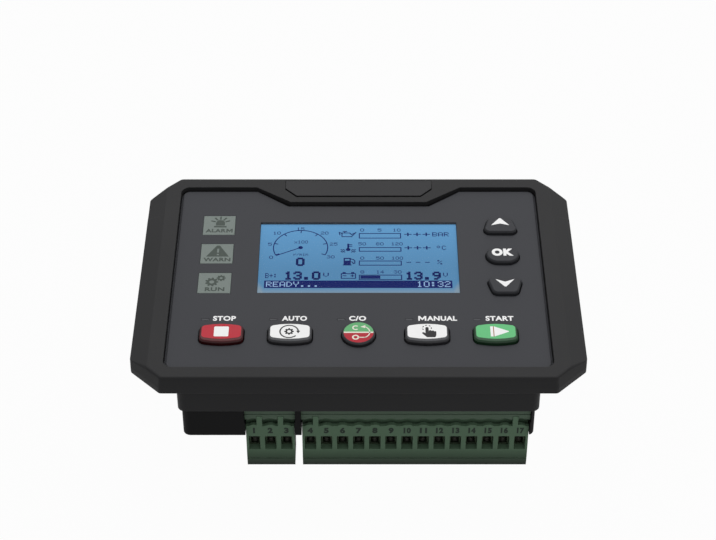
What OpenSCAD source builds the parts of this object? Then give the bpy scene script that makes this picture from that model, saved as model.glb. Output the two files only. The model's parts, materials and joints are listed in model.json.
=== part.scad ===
// Genset controller: a panel-mount control unit with a graphic display, push keys,
// three indicator windows and two rows of pluggable terminals.
// X runs to the right and Y up the face, Z points out of the face, and the origin is
// the middle of the bezel's rear face, where the unit seats on its panel.

/* [Bezel] */
// Width of the bezel
bezel_w = 139; // [132:1:160]
// Height of the bezel
bezel_h = 98; // [94:1:120]
// Height of the rim's crest above the panel
crest_h = 6.3; // [5.6:0.1:8]
// Height of the bezel's outer edge on the left and right sides
side_edge_h = 4.6; // [3.4:0.1:5.2]
// Length of the corner cuts along each side
corner_cut = 9.4; // [7:0.2:11]
// Radius of the bezel's upright edges
corner_round = 1.5; // [1:0.5:4]
// Width of the rim beside the face
side_rim = 10.3; // [9:0.1:14]
// Width of the rim above the face
top_rim = 5; // [4.6:0.1:9]
// Width of the rim below the face
bottom_rim = 5; // [4.2:0.1:8]
// Radius of the crest's edge
edge_round = 0.6; // [0.3:0.1:0.9]
// Depth of the scoop along each side rim
scoop_depth = 0.2; // [0.1:0.05:0.6]

/* [Face] */
// Depth of the face below the rim's crest
face_drop = 1.2; // [0.8:0.1:1.6]
// Thickness of the face panel
panel_t = 1.6; // [1.2:0.1:2]
// Thickness of the case's floor behind the panel
floor_t = 1.6; // [1.2:0.1:2]
// Radius of the face's corners
face_corner_r = 3; // [1:0.1:5]
// Width of the groove between the face and the rim
face_groove = 0.9; // [0.5:0.05:1.2]
// Width of the rim's tab where it leaves the upper rim
tab_w = 68; // [60:1:74]
// Width of the tab at its lower edge
tab_foot_w = 45; // [40:1:52]
// Height of the tab below the upper rim
tab_drop = 7.9; // [5.5:0.1:8.5]
// Width of the tab's inlay
inlay_w = 49; // [40:1:52]
// Gap of the groove below the inlay
inlay_gap = 0.8; // [0.4:0.05:1]

/* [Display] */
// Width of the face left and right of the display window
lcd_side = 27.1; // [26.6:0.1:31]
// Height of the display window
lcd_h = 35.3; // [30:0.1:38]
// Height of the window's middle above the middle of the face
lcd_up = 9.1; // [7.8:0.05:9.7]
// Thickness of the clear lens
lens_t = 0.7; // [0.5:0.1:0.9]
// Thickness of the display cell behind the panel
cell_t = 2; // [1.6:0.1:2.4]
// Margin of the display cell behind the window's edge
cell_margin = 2.6; // [2:0.1:3]
// Thickness of the light guide
guide_t = 3; // [2:0.1:3.2]

/* [Indicator windows] */
// Width of a window
window_w = 10.6; // [8:0.1:12]
// Height of a window
window_h = 10; // [8:0.1:12]
// Distance between windows
window_pitch = 14.5; // [13.5:0.1:15]
// Distance of the windows' middle from the face's left edge
window_in = 13.5; // [12.5:0.1:14.5]
// Height of the middle window above the display's middle
window_up = 1.6; // [0:0.1:2]

/* [Keys] */
// Width of a bar key
key_w = 13.6; // [11:0.1:14.5]
// Height of a bar key
key_h = 8.9; // [7.5:0.1:9.5]
// Distance of the lower row's outer keys from the face's side edges
key_in = 17; // [16.2:0.1:20]
// Height of the lower row's middle above the face's lower edge
key_row_up = 15.4; // [14.5:0.1:16]
// Diameter of the round transfer key
round_key_d = 10.3; // [8:0.1:11]
// Width of the keys in the right column
nav_w = 10.6; // [9:0.1:11]
// Height of the keys in the right column
nav_h = 7.8; // [7:0.1:8.4]
// Distance between the keys of the right column
nav_pitch = 15.1; // [14.5:0.1:15.6]
// Distance of the right column's middle from the face's right edge
nav_in = 12.8; // [12.2:0.1:13.2]
// Height of the keys above the face
key_rise = 1.3; // [1:0.1:1.8]
// Travel of the keys
key_travel = 0.6; // [0.4:0.05:0.7]
// Gap between a key and its opening
key_gap = 0.3; // [0.25:0.05:0.45]

/* [Case] */
// Width of the flange beside the skirt
side_flange = 13.4; // [12:0.1:14.6]
// Width of the flange above and below the skirt
end_flange = 8; // [7:0.1:10]
// Depth of the skirt behind the panel
skirt_depth = 16; // [14:0.1:18]
// Wall of the skirt
case_wall = 2.2; // [1.8:0.1:2.6]
// Step from the skirt to the rear cover
cover_inset = 1.1; // [1:0.1:2]
// Depth of the rear cover behind the skirt
cover_depth = 11.5; // [11:0.1:16]
// Wall of the rear cover
cover_wall = 1.8; // [1.4:0.1:2.2]
// Depth of the clip pockets in the skirt's sides
pocket_depth = 1.2; // [0.8:0.1:1.4]

/* [Boards] */
// Thickness of the boards
board_t = 1.6; // [1:0.1:2]
// Distance between the boards
board_gap = 4.3; // [3.6:0.1:5]
// Height of the key switches without their plungers
switch_h = 3.5; // [3:0.1:4]

/* [Terminals] */
// Distance between poles
pole_pitch = 5.08; // [4.9:0.02:5.2]
// Poles of the power terminal
power_poles = 3; // [2:1:4]
// Poles of the control terminal
control_poles = 14; // [8:1:14]
// Poles of the voltage terminal
voltage_poles = 8; // [4:1:9]
// Poles of the current terminal
current_poles = 4; // [2:1:6]
// Height of the headers above the main board
header_h = 9.8; // [9.2:0.1:11]
// Depth of the headers from their outer to their inner side
header_d = 8.5; // [8:0.1:9]
// Reach of the plugs behind the headers
plug_reach = 20.5; // [18.5:0.1:22]
// Depth of the plugs from their outer to their inner side
plug_d = 10; // [9.5:0.1:11]
// Width of a wire entry
wire_w = 3.6; // [3:0.1:3.8]
// Height of a wire entry
wire_h = 5.8; // [5:0.1:6.2]

/* [Hidden] */
$fn = 48;
sliver = 0.02;
over = 1;
fit_gap = 0.1;
slip_gap = 0.15;

// Heights of the layers behind the face
face_z = crest_h - face_drop;
seat_z = face_z - panel_t;
floor_z = seat_z - floor_t;
flange_t = 1.2;
flange_z = floor_z - flange_t;
plunger_rise = 1.2;
board_z = flange_z - plunger_rise - switch_h;
main_z = board_z - board_t - board_gap;
main_rear_z = main_z - board_t;
mouth_z = main_rear_z - header_h;
rear_z = -skirt_depth - cover_depth;
spigot_gap = 0.3;
spigot_z = main_rear_z - spigot_gap;

// Outline of the bezel
wall_draft = 0.2;
facet_lean = 0.6;
crest_in = 5;
foot_h = 2;
scoop_land = 0.4;
scoop_in = crest_in + scoop_land;
crease_down = 20;

// Outline of the face
face_w = bezel_w - 2 * side_rim;
face_h = bezel_h - top_rim - bottom_rim;
face_top = bezel_h / 2 - top_rim;
face_foot = bottom_rim - bezel_h / 2;
face_y = (face_top + face_foot) / 2;
tab_foot_y = face_top - tab_drop;
face_groove_d = 0.9;
inlay_t = 1;
inlay_land = 1.4;
inlay_up = 2.6;
inlay_rise = 4;
inlay_taper = 3.8;
inlay_foot_y = tab_foot_y + inlay_up;
inlay_bend_y = inlay_foot_y + inlay_rise;
inlay_top_y = bezel_h / 2 - inlay_land;

// Display stack, from the lens down to the board
lcd_w = face_w - 2 * lcd_side;
lcd_y = face_y + lcd_up;
lens_z = face_z - fit_gap - lens_t;
cell_top_z = seat_z - fit_gap;
cell_z = cell_top_z - cell_t;
guide_z = cell_z - guide_t;
cell_w = lcd_w + 2 * cell_margin;
cell_h = lcd_h + 2 * cell_margin;
holder_wall = 1.8;
holder_floor_t = 1.2;

// Indicator windows and lamps
window_x = window_in - face_w / 2;
window_stem = 5;
lamp_size = [3.2, 2.6, 1.9];
lamp_gap = 0.4;
stem_z = board_z + lamp_size.z + lamp_gap;
pipe_w = 2.2;
pipe_h = 0.7;
pipe_left = 5.4;
pipe_up = 7.4;

// Keys: kind, place, width and height
key_pitch = (face_w / 2 - key_in) / 2;
key_y = face_foot + key_row_up;
nav_x = face_w / 2 - nav_in;
nav_nose = 2.3;
key_corner_r = 2;
key_bow = 0.6;
key_edge = 0.5;
key_top = face_z + key_rise;
flange_lip = 0.4;
passage_gap = 0.4;
key_lip = passage_gap + flange_lip;
plunger_r = 1.7;
plunger_sunk = 1.3;
switch_w = 6;
STOP = ["bar", -2 * key_pitch, key_y, key_w, key_h];
AUTO = ["bar", -key_pitch, key_y, key_w, key_h];
TRANSFER = ["round", 0, key_y, round_key_d, round_key_d];
MANUAL = ["bar", key_pitch, key_y, key_w, key_h];
START = ["bar", 2 * key_pitch, key_y, key_w, key_h];
UP = ["up", nav_x, lcd_y + nav_pitch, nav_w, nav_h];
OK = ["oval", nav_x, lcd_y, nav_w, nav_h];
DOWN = ["down", nav_x, lcd_y - nav_pitch, nav_w, nav_h];
LOWER_KEYS = [STOP, AUTO, TRANSFER, MANUAL, START];
KEYS = concat(LOWER_KEYS, [UP, OK, DOWN]);

// Case and rear cover
case_w = bezel_w - 2 * side_flange;
case_h = bezel_h - 2 * end_flange;
case_r = 2.4;
case_chamfer = 0.7;
inner_w = case_w - 2 * case_wall;
inner_h = case_h - 2 * case_wall;
cover_w = case_w - 2 * cover_inset;
cover_h = case_h - 2 * cover_inset;
spigot_w = inner_w - 2 * slip_gap;
spigot_d = inner_h - 2 * slip_gap;
spigot_r = 1;
gasket_in = 2.2;
gasket_w = 2.6;
gasket_t = 1.2;
pocket_w = 8;
pocket_h = 3.2;
pocket_z = -5.6;
pocket_in = 22;
pocket_y = case_h / 2 - pocket_in;

// Terminals, from the header's walls to the clamping screws
header_end = 0.3;
header_wall = 0.9;
header_floor = 1.5;
groove = 0.4;
header_line_up = 2.05;
header_line_z = mouth_z + header_line_up;
rib_w = 1.6;
header_face = inner_h / 2 - 2 * slip_gap;
header_inner = header_face - header_d;
plug_face = header_face + fit_gap;
plug_inner = plug_face - plug_d;
pin_y = (header_face + header_inner) / 2;
pin_w = 1;
pin_slot = 1.6;
pin_tail = 1;
pin_reach = 8.4;
notch_gap = 0.5;
notch_inner = plug_inner - notch_gap;
shoulder_drop = 2.9;
shoulder_z = mouth_z - shoulder_drop;
plug_end_z = mouth_z - plug_reach;
tongue_gap = 0.2;
tongue_in = 2.6;
tongue_face = header_face - tongue_in;
trench_d = 1.6;
trench_z = shoulder_z - trench_d;
tongue_z = main_rear_z - header_floor - tongue_gap;
wire_drop = 7.3;
wire_top_z = mouth_z - wire_drop;
wire_foot_z = wire_top_z - wire_h;
wire_depth = 7.4;
cage_wall = 0.45;
cage_sunk = 2.4;
scallop_r = pole_pitch / 2;
scallop_rise = 0.6;
scallop_d = 1.3;
arch_rise = 0.45;
guide_post_w = 1.7;
guide_in = 4.3;
guide_top_z = header_line_z - 2 * groove;
lip_h = 3.6;
lip_slope = 0.5;
clamp_r = wire_w / 2 - cage_wall - slip_gap;
clamp_head_r = 1.7;
clamp_head_h = 2.2;
clamp_sunk = 1;
clamp_slot = 0.7;
clamp_bite = 2;

// Screws of the rear cover, just inside the terminals' pockets
screw_r = 0.8;
screw_head_r = 1.6;
screw_head_h = 0.8;
screw_reach = 5;
screw_land = 0.3;
boss_w = 4.4;
case_screw_y = notch_inner - cover_wall - boss_w / 2 - fit_gap;
case_screw_z = spigot_z - screw_r - screw_land;

// Boards, the posts that carry them clear of the keys, and what stands on them
board_clear = 0.7;
board_w = inner_w - 2 * board_clear;
board_h = inner_h - 2 * board_clear;
post_r = 2.2;
post_screw_r = 1.1;
post_head_r = 2;
post_head_h = 1.6;
post_bite = 4;
post_x = 2 * key_pitch;
upper_post_y = (UP[2] + nav_h / 2 + key_lip + inner_h / 2) / 2;
lower_post_y = (DOWN[2] - nav_h / 2 + key_y + key_h / 2) / 2;
POSTS = [for (sx = [-1, 1], y = [upper_post_y, lower_post_y]) [sx * post_x, y]];
relay_w = 15;
relay_d = 10;
relay_h = 12;
relay_gap = 1;
relay_in = 2.8;
relay_pitch = relay_w + relay_gap;
relay_y = relay_in + cover_wall + relay_d / 2 - notch_inner;
relay_room = 2 * (post_x - post_head_r) - relay_gap;
relay_count = floor((relay_room + relay_gap) / relay_pitch);
chip_w = 12;
chip_h = 1.6;
chip_x = -8;
chip_y = 6;
can_count = 3;
can_r = 4;
can_h = 11;
can_gap = 2;
can_pitch = 2 * can_r + can_gap;
can_in = 13.2;
can_y = 8;
link_w = 26;
link_d = 5;
link_y = -20;
port_w = 12;
port_d = 11;
port_in = 13.2;
port_x = port_in - board_w / 2;
port_y = 4;
port_wall = 1.6;
port_depth = 9;
tongue_w = 5.6;
tongue_d = 3.1;
port_sunk = 0.4;

// The four terminals: place along the row, poles and turn about Z
function header_len(poles) = poles * pole_pitch + 2 * header_end;
row_step = rib_w + 2 * fit_gap;
control_x = inner_w / 2 - 2 * fit_gap - header_len(control_poles) / 2;
power_x = control_x - (header_len(control_poles) + header_len(power_poles)) / 2 - row_step;
upper_len = header_len(voltage_poles) + header_len(current_poles) + row_step;
voltage_x = (header_len(voltage_poles) - upper_len) / 2;
current_x = (upper_len - header_len(current_poles)) / 2;
POWER = [power_x, power_poles, 0];
CONTROL = [control_x, control_poles, 0];
VOLTAGE = [voltage_x, voltage_poles, 180];
CURRENT = [current_x, current_poles, 180];
TERMINALS = [POWER, CONTROL, VOLTAGE, CURRENT];

case_black = [0.19, 0.19, 0.2];
panel_grey = [0.28, 0.29, 0.31];
terminal_green = [0.2, 0.36, 0.26];
steel = [0.72, 0.72, 0.7];

// Building blocks

// Box between two opposite corners
module block(low, high) {
    translate(low) cube(high - low);
}

// Upright prism of a flat outline between two heights
module prism(low_z, high_z) {
    translate([0, 0, low_z]) linear_extrude(high_z - low_z) children();
}

// Bar along X whose section is drawn with Y across and Z up
module bar_along_x(length) {
    rotate([90, 0, 90]) translate([0, 0, -length / 2]) linear_extrude(length) children();
}

module rounded_rect(w, h, r) {
    square([w - 2 * r, h], center = true);
    square([w, h - 2 * r], center = true);
    for (sx = [-1, 1], sy = [-1, 1])
        translate([sx * (w / 2 - r), sy * (h / 2 - r)]) circle(r);
}

// Rounds at the eight corners of a rectangle with cut corners, ready for a hull
module corner_rounds(w, h, cut) {
    x = w / 2 - corner_round;
    y = h / 2 - corner_round;
    inner_cut = cut - (2 - sqrt(2)) * corner_round;
    for (sx = [-1, 1], sy = [-1, 1], corner = [[x - inner_cut, y], [x, y - inner_cut]])
        translate([sx * corner.x, sy * corner.y]) circle(corner_round, $fn = 32);
}

// Rounded prism whose far end, at low_z, has a chamfered edge
module chamfered_prism(w, h, r, chamfer, low_z, high_z) {
    prism(low_z + chamfer, high_z) rounded_rect(w, h, r);
    hull() {
        prism(low_z + chamfer, low_z + chamfer + sliver) rounded_rect(w, h, r, $fn = 24);
        prism(low_z, low_z + sliver)
            rounded_rect(w - 2 * chamfer, h - 2 * chamfer, r - chamfer / 2, $fn = 24);
    }
}

// Front case

// Corners of the rim's crest, drawn in by inset
module crest_rounds(inset) {
    corner_rounds(
        bezel_w - 2 * (crest_in + inset),
        bezel_h - 2 * (wall_draft + inset),
        corner_cut + facet_lean - crest_in - wall_draft
    );
}

// Bezel: straight foot on the panel, then walls that lean in to a rounded crest
module bezel_block() {
    prism(0, foot_h) hull() corner_rounds(bezel_w, bezel_h, corner_cut);
    hull() {
        prism(foot_h, foot_h + sliver) corner_rounds(bezel_w, bezel_h, corner_cut);
        prism(side_edge_h - sliver, side_edge_h)
            corner_rounds(bezel_w, bezel_h - wall_draft, corner_cut + facet_lean / 2);
        for (turn = [0 : 30 : 90]) {
            z = crest_h - edge_round * (1 - sin(turn));
            prism(z - sliver, z) crest_rounds(edge_round * (1 - cos(turn)));
        }
    }
}

// Shallow scoop at the upper end of each side rim, which ends in a crease
module side_scoops() {
    outer = bezel_w / 2 + over;
    start = bezel_w / 2 - scoop_in;
    fall = (crest_h - side_edge_h + scoop_depth) / scoop_in;
    for (side = [0, 1])
        mirror([side, 0, 0]) translate([0, bezel_h / 2 + over, 0]) rotate([90, 0, 0])
            linear_extrude(crease_down + over)
                polygon([
                    [start, crest_h], [outer, crest_h - fall * (scoop_in + over)],
                    [outer, crest_h + over], [start, crest_h + over]
                ]);
}

// Tab of the upper rim that dips into the face
module tab_outline(grow) {
    polygon([
        [-tab_w / 2 - grow, face_top + over], [-tab_w / 2 - grow, face_top],
        [-tab_foot_w / 2 - grow, tab_foot_y - grow], [tab_foot_w / 2 + grow, tab_foot_y - grow],
        [tab_w / 2 + grow, face_top], [tab_w / 2 + grow, face_top + over]
    ]);
}

module face_outline(gap) {
    difference() {
        translate([0, face_y])
            rounded_rect(face_w - 2 * gap, face_h - 2 * gap, max(face_corner_r - gap, fit_gap));
        tab_outline(gap);
    }
}

// Outline of the inlay, smaller by gap at its sides and upper edge and by foot_gap below
module inlay_outline(gap, foot_gap) {
    x = inlay_w / 2 - gap;
    foot_y = inlay_foot_y + foot_gap;
    bend_y = inlay_bend_y + foot_gap;
    polygon([
        [inlay_taper - x, foot_y], [x - inlay_taper, foot_y],
        [x, bend_y], [x, inlay_top_y - gap], [-x, inlay_top_y - gap], [-x, bend_y]
    ]);
}

module gasket_ring(gap) {
    outer = gasket_in + gasket_w - gap;
    inner = gasket_in + gap;
    difference() {
        rounded_rect(case_w + 2 * outer, case_h + 2 * outer, case_r + outer);
        rounded_rect(case_w + 2 * inner, case_h + 2 * inner, case_r + inner);
    }
}

// Openings of the floor, from the display and the windows to the keys' passages
module floor_openings() {
    translate([0, lcd_y]) square([cell_w + 2 * fit_gap, cell_h + 2 * fit_gap], center = true);
    for (row = [-1 : 1])
        translate([window_x, lcd_y + window_up + row * window_pitch])
            square(window_stem + 2 * slip_gap, center = true);
    pipe_places() square([pipe_w + 2 * fit_gap, pipe_h + 2 * fit_gap], center = true);
    for (key = KEYS)
        translate([key[1], key[2]])
            rounded_rect(key[3] + 2 * passage_gap, key[4] + 2 * passage_gap, key_corner_r);
}

module pipe_places() {
    for (key = LOWER_KEYS)
        translate([key[1] - pipe_left, key[2] + pipe_up]) children();
}

// Places of the board posts, with Z at low_z
module post_places(low_z) {
    for (post = POSTS) translate([post.x, post.y, low_z]) children();
}

// Places of the case screws, with Z along the screw from its head into the cover
module case_screw_places() {
    for (side = [-1, 1], y = [-case_screw_y, case_screw_y])
        translate([side * case_w / 2, y, case_screw_z]) rotate([0, -90 * side, 0]) children();
}

module screw_form(gap) {
    cylinder(r1 = screw_head_r + gap, r2 = screw_r + gap, h = screw_head_h);
    cylinder(r = screw_r + gap, h = case_wall + screw_reach + gap);
}

module front_case() {
    color(case_black) difference() {
        union() {
            difference() {
                union() {
                    bezel_block();
                    chamfered_prism(case_w, case_h, case_r, case_chamfer, -skirt_depth, foot_h);
                }
                prism(-skirt_depth - over, floor_z) square([inner_w, inner_h], center = true);
            }
            post_places(board_z) cylinder(r = post_r, h = floor_z - board_z + sliver);
        }
        prism(seat_z, crest_h + over) face_outline(0);
        prism(floor_z - over, seat_z + over) floor_openings();
        prism(crest_h - inlay_t, crest_h + over) inlay_outline(0, 0);
        prism(-over, gasket_t) gasket_ring(0);
        side_scoops();
        post_places(board_z - over) cylinder(r = post_screw_r, h = over + post_bite + fit_gap);
        for (side = [-1, 1], y = [-pocket_y, pocket_y])
            translate([side * case_w / 2, y, pocket_z])
                cube([2 * pocket_depth, pocket_w, pocket_h], center = true);
        case_screw_places() screw_form(fit_gap);
    }
}

module top_inlay() {
    color(case_black) prism(crest_h - inlay_t, crest_h) inlay_outline(fit_gap, inlay_gap);
}

module panel_gasket() {
    color("black") prism(0, gasket_t) gasket_ring(fit_gap);
}

// Face panel and display

module face_panel() {
    color(panel_grey) difference() {
        union() {
            prism(seat_z, face_z - face_groove_d) face_outline(slip_gap);
            prism(seat_z, face_z) face_outline(face_groove);
        }
        prism(seat_z - over, face_z + over) {
            translate([0, lcd_y]) square([lcd_w, lcd_h], center = true);
            for (row = [-1 : 1])
                translate([window_x, lcd_y + window_up + row * window_pitch])
                    square([window_w, window_h], center = true);
            pipe_places() square([pipe_w + 2 * fit_gap, pipe_h + 2 * fit_gap], center = true);
            for (key = KEYS) translate([key[1], key[2]]) key_outline(key, key_gap);
        }
    }
}

module lcd_lens() {
    color([0.8, 0.88, 0.95, 0.4]) translate([0, lcd_y, 0]) prism(lens_z, lens_z + lens_t)
        square([lcd_w - 2 * fit_gap, lcd_h - 2 * fit_gap], center = true);
}

// Lower glass behind the panel, with the upper glass and polariser raised into the window
module lcd_glass() {
    color([0.42, 0.64, 0.82]) translate([0, lcd_y, 0]) {
        prism(cell_z, cell_top_z) square([cell_w, cell_h], center = true);
        prism(cell_top_z, lens_z) square([lcd_w - 2 * fit_gap, lcd_h - 2 * fit_gap], center = true);
    }
}

module lcd_light_guide() {
    color("white") translate([0, lcd_y, 0]) prism(guide_z, cell_z) square([cell_w, cell_h], center = true);
}

// Tray on the display board that carries the light guide and the glass
module lcd_holder() {
    rim_z = floor_z - passage_gap;
    cell = [cell_w, cell_h];
    wall = 2 * [holder_wall, holder_wall];
    play = 2 * [fit_gap, fit_gap];
    color("gainsboro") translate([0, lcd_y, 0]) difference() {
        prism(board_z, rim_z) square(cell + wall, center = true);
        prism(guide_z, rim_z + over) square(cell + play, center = true);
        prism(board_z - over, guide_z - holder_floor_t) square(cell - wall, center = true);
    }
}

// Window flush with the face, with a stem that leads the lamp's light up to it
module indicator_window(row) {
    color([0.6, 0.64, 0.58]) translate([window_x, lcd_y + window_up + row * window_pitch, 0]) {
        prism(seat_z, face_z) square([window_w - 2 * fit_gap, window_h - 2 * fit_gap], center = true);
        prism(stem_z, seat_z) square(window_stem, center = true);
    }
}

module alarm_window() {
    indicator_window(1);
}

module warn_window() {
    indicator_window(0);
}

module run_window() {
    indicator_window(-1);
}

module key_light_pipes() {
    color("dimgray") pipe_places() prism(stem_z, face_z) square([pipe_w, pipe_h], center = true);
}

module indicator_lamps() {
    color("ivory") {
        for (row = [-1 : 1])
            translate([window_x, lcd_y + window_up + row * window_pitch, board_z + lamp_size.z / 2])
                cube(lamp_size, center = true);
        pipe_places() translate([0, 0, board_z + lamp_size.z / 2]) cube(lamp_size, center = true);
    }
}

// Keys

// Bar with bowed long sides
module bar_outline(w, h, grow) {
    x = w / 2 - key_corner_r;
    y = h / 2 - key_corner_r;
    hull() for (u = [-1 : 0.5 : 1], side = [-1, 1])
        translate([u * x, side * (y - key_bow * u * u)]) circle(key_corner_r + grow, $fn = 32);
}

module oval_outline(w, h, grow) {
    square([w - h, h + 2 * grow], center = true);
    for (side = [-1, 1]) translate([side * (w - h) / 2, 0]) circle(h / 2 + grow);
}

// Arrow-head bar, narrow at the top
module arrow_outline(w, h, grow) {
    y = h / 2 - key_corner_r;
    hull() for (side = [-1, 1], end = [[w / 2 - key_corner_r, -y], [nav_nose, y]])
        translate([side * end.x, end.y]) circle(key_corner_r + grow, $fn = 32);
}

module key_outline(key, grow) {
    w = key[3];
    h = key[4];
    if (key[0] == "bar") bar_outline(w, h, grow);
    if (key[0] == "round") circle(w / 2 + grow);
    if (key[0] == "oval") oval_outline(w, h, grow);
    if (key[0] == "up") arrow_outline(w, h, grow);
    if (key[0] == "down") rotate(180) arrow_outline(w, h, grow);
}

// Cap with a softened top edge, on a flange that stops under the floor
module push_key(key) {
    translate([key[1], key[2], 0]) {
        hull() {
            prism(floor_z, key_top - key_edge) key_outline(key, 0);
            prism(key_top - sliver, key_top) key_outline(key, -key_edge);
        }
        prism(flange_z, floor_z) square([key[3] + 2 * key_lip, key[4] + 2 * key_lip], center = true);
    }
}

module stop_key() {
    color([0.76, 0.13, 0.18]) push_key(STOP);
}

module auto_key() {
    color(panel_grey) push_key(AUTO);
}

module transfer_key() {
    color(panel_grey) push_key(TRANSFER);
}

module manual_key() {
    color(panel_grey) push_key(MANUAL);
}

module start_key() {
    color([0.26, 0.66, 0.34]) push_key(START);
}

module up_key() {
    color(panel_grey) push_key(UP);
}

module ok_key() {
    color(panel_grey) push_key(OK);
}

module down_key() {
    color(panel_grey) push_key(DOWN);
}

// Round plunger between a key's flange and its switch
module plunger(key) {
    color("black") translate([key[1], key[2], flange_z - plunger_rise - plunger_sunk])
        cylinder(r = plunger_r, h = plunger_rise + plunger_sunk);
}

module stop_plunger() {
    plunger(STOP);
}

module auto_plunger() {
    plunger(AUTO);
}

module transfer_plunger() {
    plunger(TRANSFER);
}

module manual_plunger() {
    plunger(MANUAL);
}

module start_plunger() {
    plunger(START);
}

module up_plunger() {
    plunger(UP);
}

module ok_plunger() {
    plunger(OK);
}

module down_plunger() {
    plunger(DOWN);
}

module switch_bodies() {
    well = plunger_sunk + key_travel + fit_gap;
    color("silver") for (key = KEYS) translate([key[1], key[2], board_z]) difference() {
        translate([-switch_w / 2, -switch_w / 2, 0]) cube([switch_w, switch_w, switch_h]);
        translate([0, 0, switch_h - well]) cylinder(r = plunger_r + key_gap, h = well + over);
    }
}

// Boards

module board(low_z) {
    prism(low_z, low_z + board_t) difference() {
        square([board_w, board_h], center = true);
        for (post = POSTS) translate(post) circle(post_screw_r + fit_gap);
    }
}

module display_board() {
    color("darkgreen") board(board_z - board_t);
}

module board_spacers() {
    color("ivory") post_places(main_z) linear_extrude(board_gap) difference() {
        circle(post_r);
        circle(post_screw_r + fit_gap);
    }
}

module board_link() {
    color("black") translate([0, link_y, 0])
        prism(main_z, main_z + board_gap) square([link_w, link_d], center = true);
}

module main_board() {
    color("darkgreen") difference() {
        board(main_rear_z);
        pole_places() translate([0, -pin_y, main_rear_z - over])
            linear_extrude(board_t + 2 * over) square(pin_w + 2 * fit_gap, center = true);
    }
}

module board_screws() {
    shank = board_gap + 2 * board_t + post_bite;
    color(steel) post_places(main_rear_z) {
        translate([0, 0, -post_head_h]) cylinder(r = post_head_r, h = post_head_h);
        cylinder(r = post_screw_r, h = shank);
    }
}

module relays() {
    color("black") for (place = [0 : relay_count - 1])
        translate([(place - (relay_count - 1) / 2) * relay_pitch, relay_y, main_rear_z - relay_h / 2])
            cube([relay_w, relay_d, relay_h], center = true);
}

module processor() {
    color("black") translate([chip_x, chip_y, main_rear_z - chip_h / 2])
        cube([chip_w, chip_w, chip_h], center = true);
}

module capacitors() {
    color("black") for (place = [0 : can_count - 1])
        translate([board_w / 2 - can_in - place * can_pitch, can_y, main_rear_z - can_h])
            cylinder(r = can_r, h = can_h);
}

// Socket for the set-up lead, standing on the main board and open to the rear
module link_port() {
    end_z = rear_z + port_sunk;
    color(steel) translate([port_x, port_y, 0]) {
        difference() {
            prism(end_z, main_rear_z) square([port_w, port_d], center = true);
            prism(end_z - over, end_z + port_depth)
                square([port_w - 2 * port_wall, port_d - 2 * port_wall], center = true);
        }
        prism(end_z + port_sunk, end_z + port_depth) square([tongue_w, tongue_d], center = true);
    }
}

// Rear cover

// Pocket in the cover for one terminal, open to the rear and to the side
module terminal_notch(terminal) {
    header_x = header_len(terminal[1]) / 2 + fit_gap;
    plug_x = terminal[1] * pole_pitch / 2 + slip_gap;
    outer_y = -cover_h / 2 - over;
    at_terminal(terminal) {
        block([-header_x, outer_y, mouth_z - fit_gap], [header_x, -notch_inner, -skirt_depth]);
        block([-plug_x, outer_y, rear_z - over], [plug_x, -notch_inner, mouth_z]);
    }
}

// Walls that the cover keeps round a terminal's pocket
module notch_walls(terminal) {
    x = header_len(terminal[1]) / 2 + fit_gap + rib_w;
    at_terminal(terminal)
        block(
            [-x, -cover_h / 2 - over, rear_z - over],
            [x, cover_wall - notch_inner, cover_wall - skirt_depth]
        );
}

// Way through the pocket's floor for the header
module header_pass(terminal) {
    x = header_len(terminal[1]) / 2 + fit_gap;
    at_terminal(terminal)
        block(
            [-x, -header_face - slip_gap, -skirt_depth - over],
            [x, slip_gap - header_inner, spigot_z + over]
        );
}

// Room in the spigot for the heads of the board screws
module screw_reliefs() {
    foot_z = main_rear_z - post_head_h - slip_gap;
    post_places(foot_z) cylinder(r = post_head_r + slip_gap, h = spigot_z + over - foot_z);
}

module rear_cover() {
    color(case_black) difference() {
        union() {
            chamfered_prism(cover_w, cover_h, case_r, case_chamfer, rear_z, -skirt_depth);
            prism(-skirt_depth - sliver, spigot_z) rounded_rect(spigot_w, spigot_d, spigot_r);
        }
        difference() {
            prism(rear_z + cover_wall, spigot_z + over)
                square([spigot_w - 2 * cover_wall, spigot_d - 2 * cover_wall], center = true);
            for (terminal = TERMINALS) notch_walls(terminal);
            case_screw_places()
                translate([-boss_w / 2, -boss_w / 2, case_wall])
                    cube([boss_w, boss_w, screw_reach + cover_wall]);
        }
        for (terminal = TERMINALS) {
            terminal_notch(terminal);
            header_pass(terminal);
        }
        case_screw_places() cylinder(r = screw_r + fit_gap, h = case_wall + screw_reach + fit_gap);
        screw_reliefs();
        translate([port_x, port_y, 0]) prism(rear_z - over, rear_z + cover_wall + over)
            square([port_w + 2 * slip_gap, port_d + 2 * slip_gap], center = true);
    }
}

module case_screws() {
    color(steel) case_screw_places() screw_form(0);
}

// Terminals, drawn as in the lower row

module at_terminal(terminal) {
    translate([terminal[0], 0, 0]) rotate(terminal[2]) children();
}

module each_pole(poles) {
    for (pole = [0 : poles - 1]) translate([(pole - (poles - 1) / 2) * pole_pitch, 0, 0]) children();
}

module pole_places() {
    for (terminal = TERMINALS) at_terminal(terminal) each_pole(terminal[1]) children();
}

// Places of a plug's two guide posts, which also slot the header's outer wall
module guide_places(poles) {
    for (side = [-1, 1]) translate([side * (poles * pole_pitch / 2 - guide_in), 0, 0]) children();
}

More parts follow.
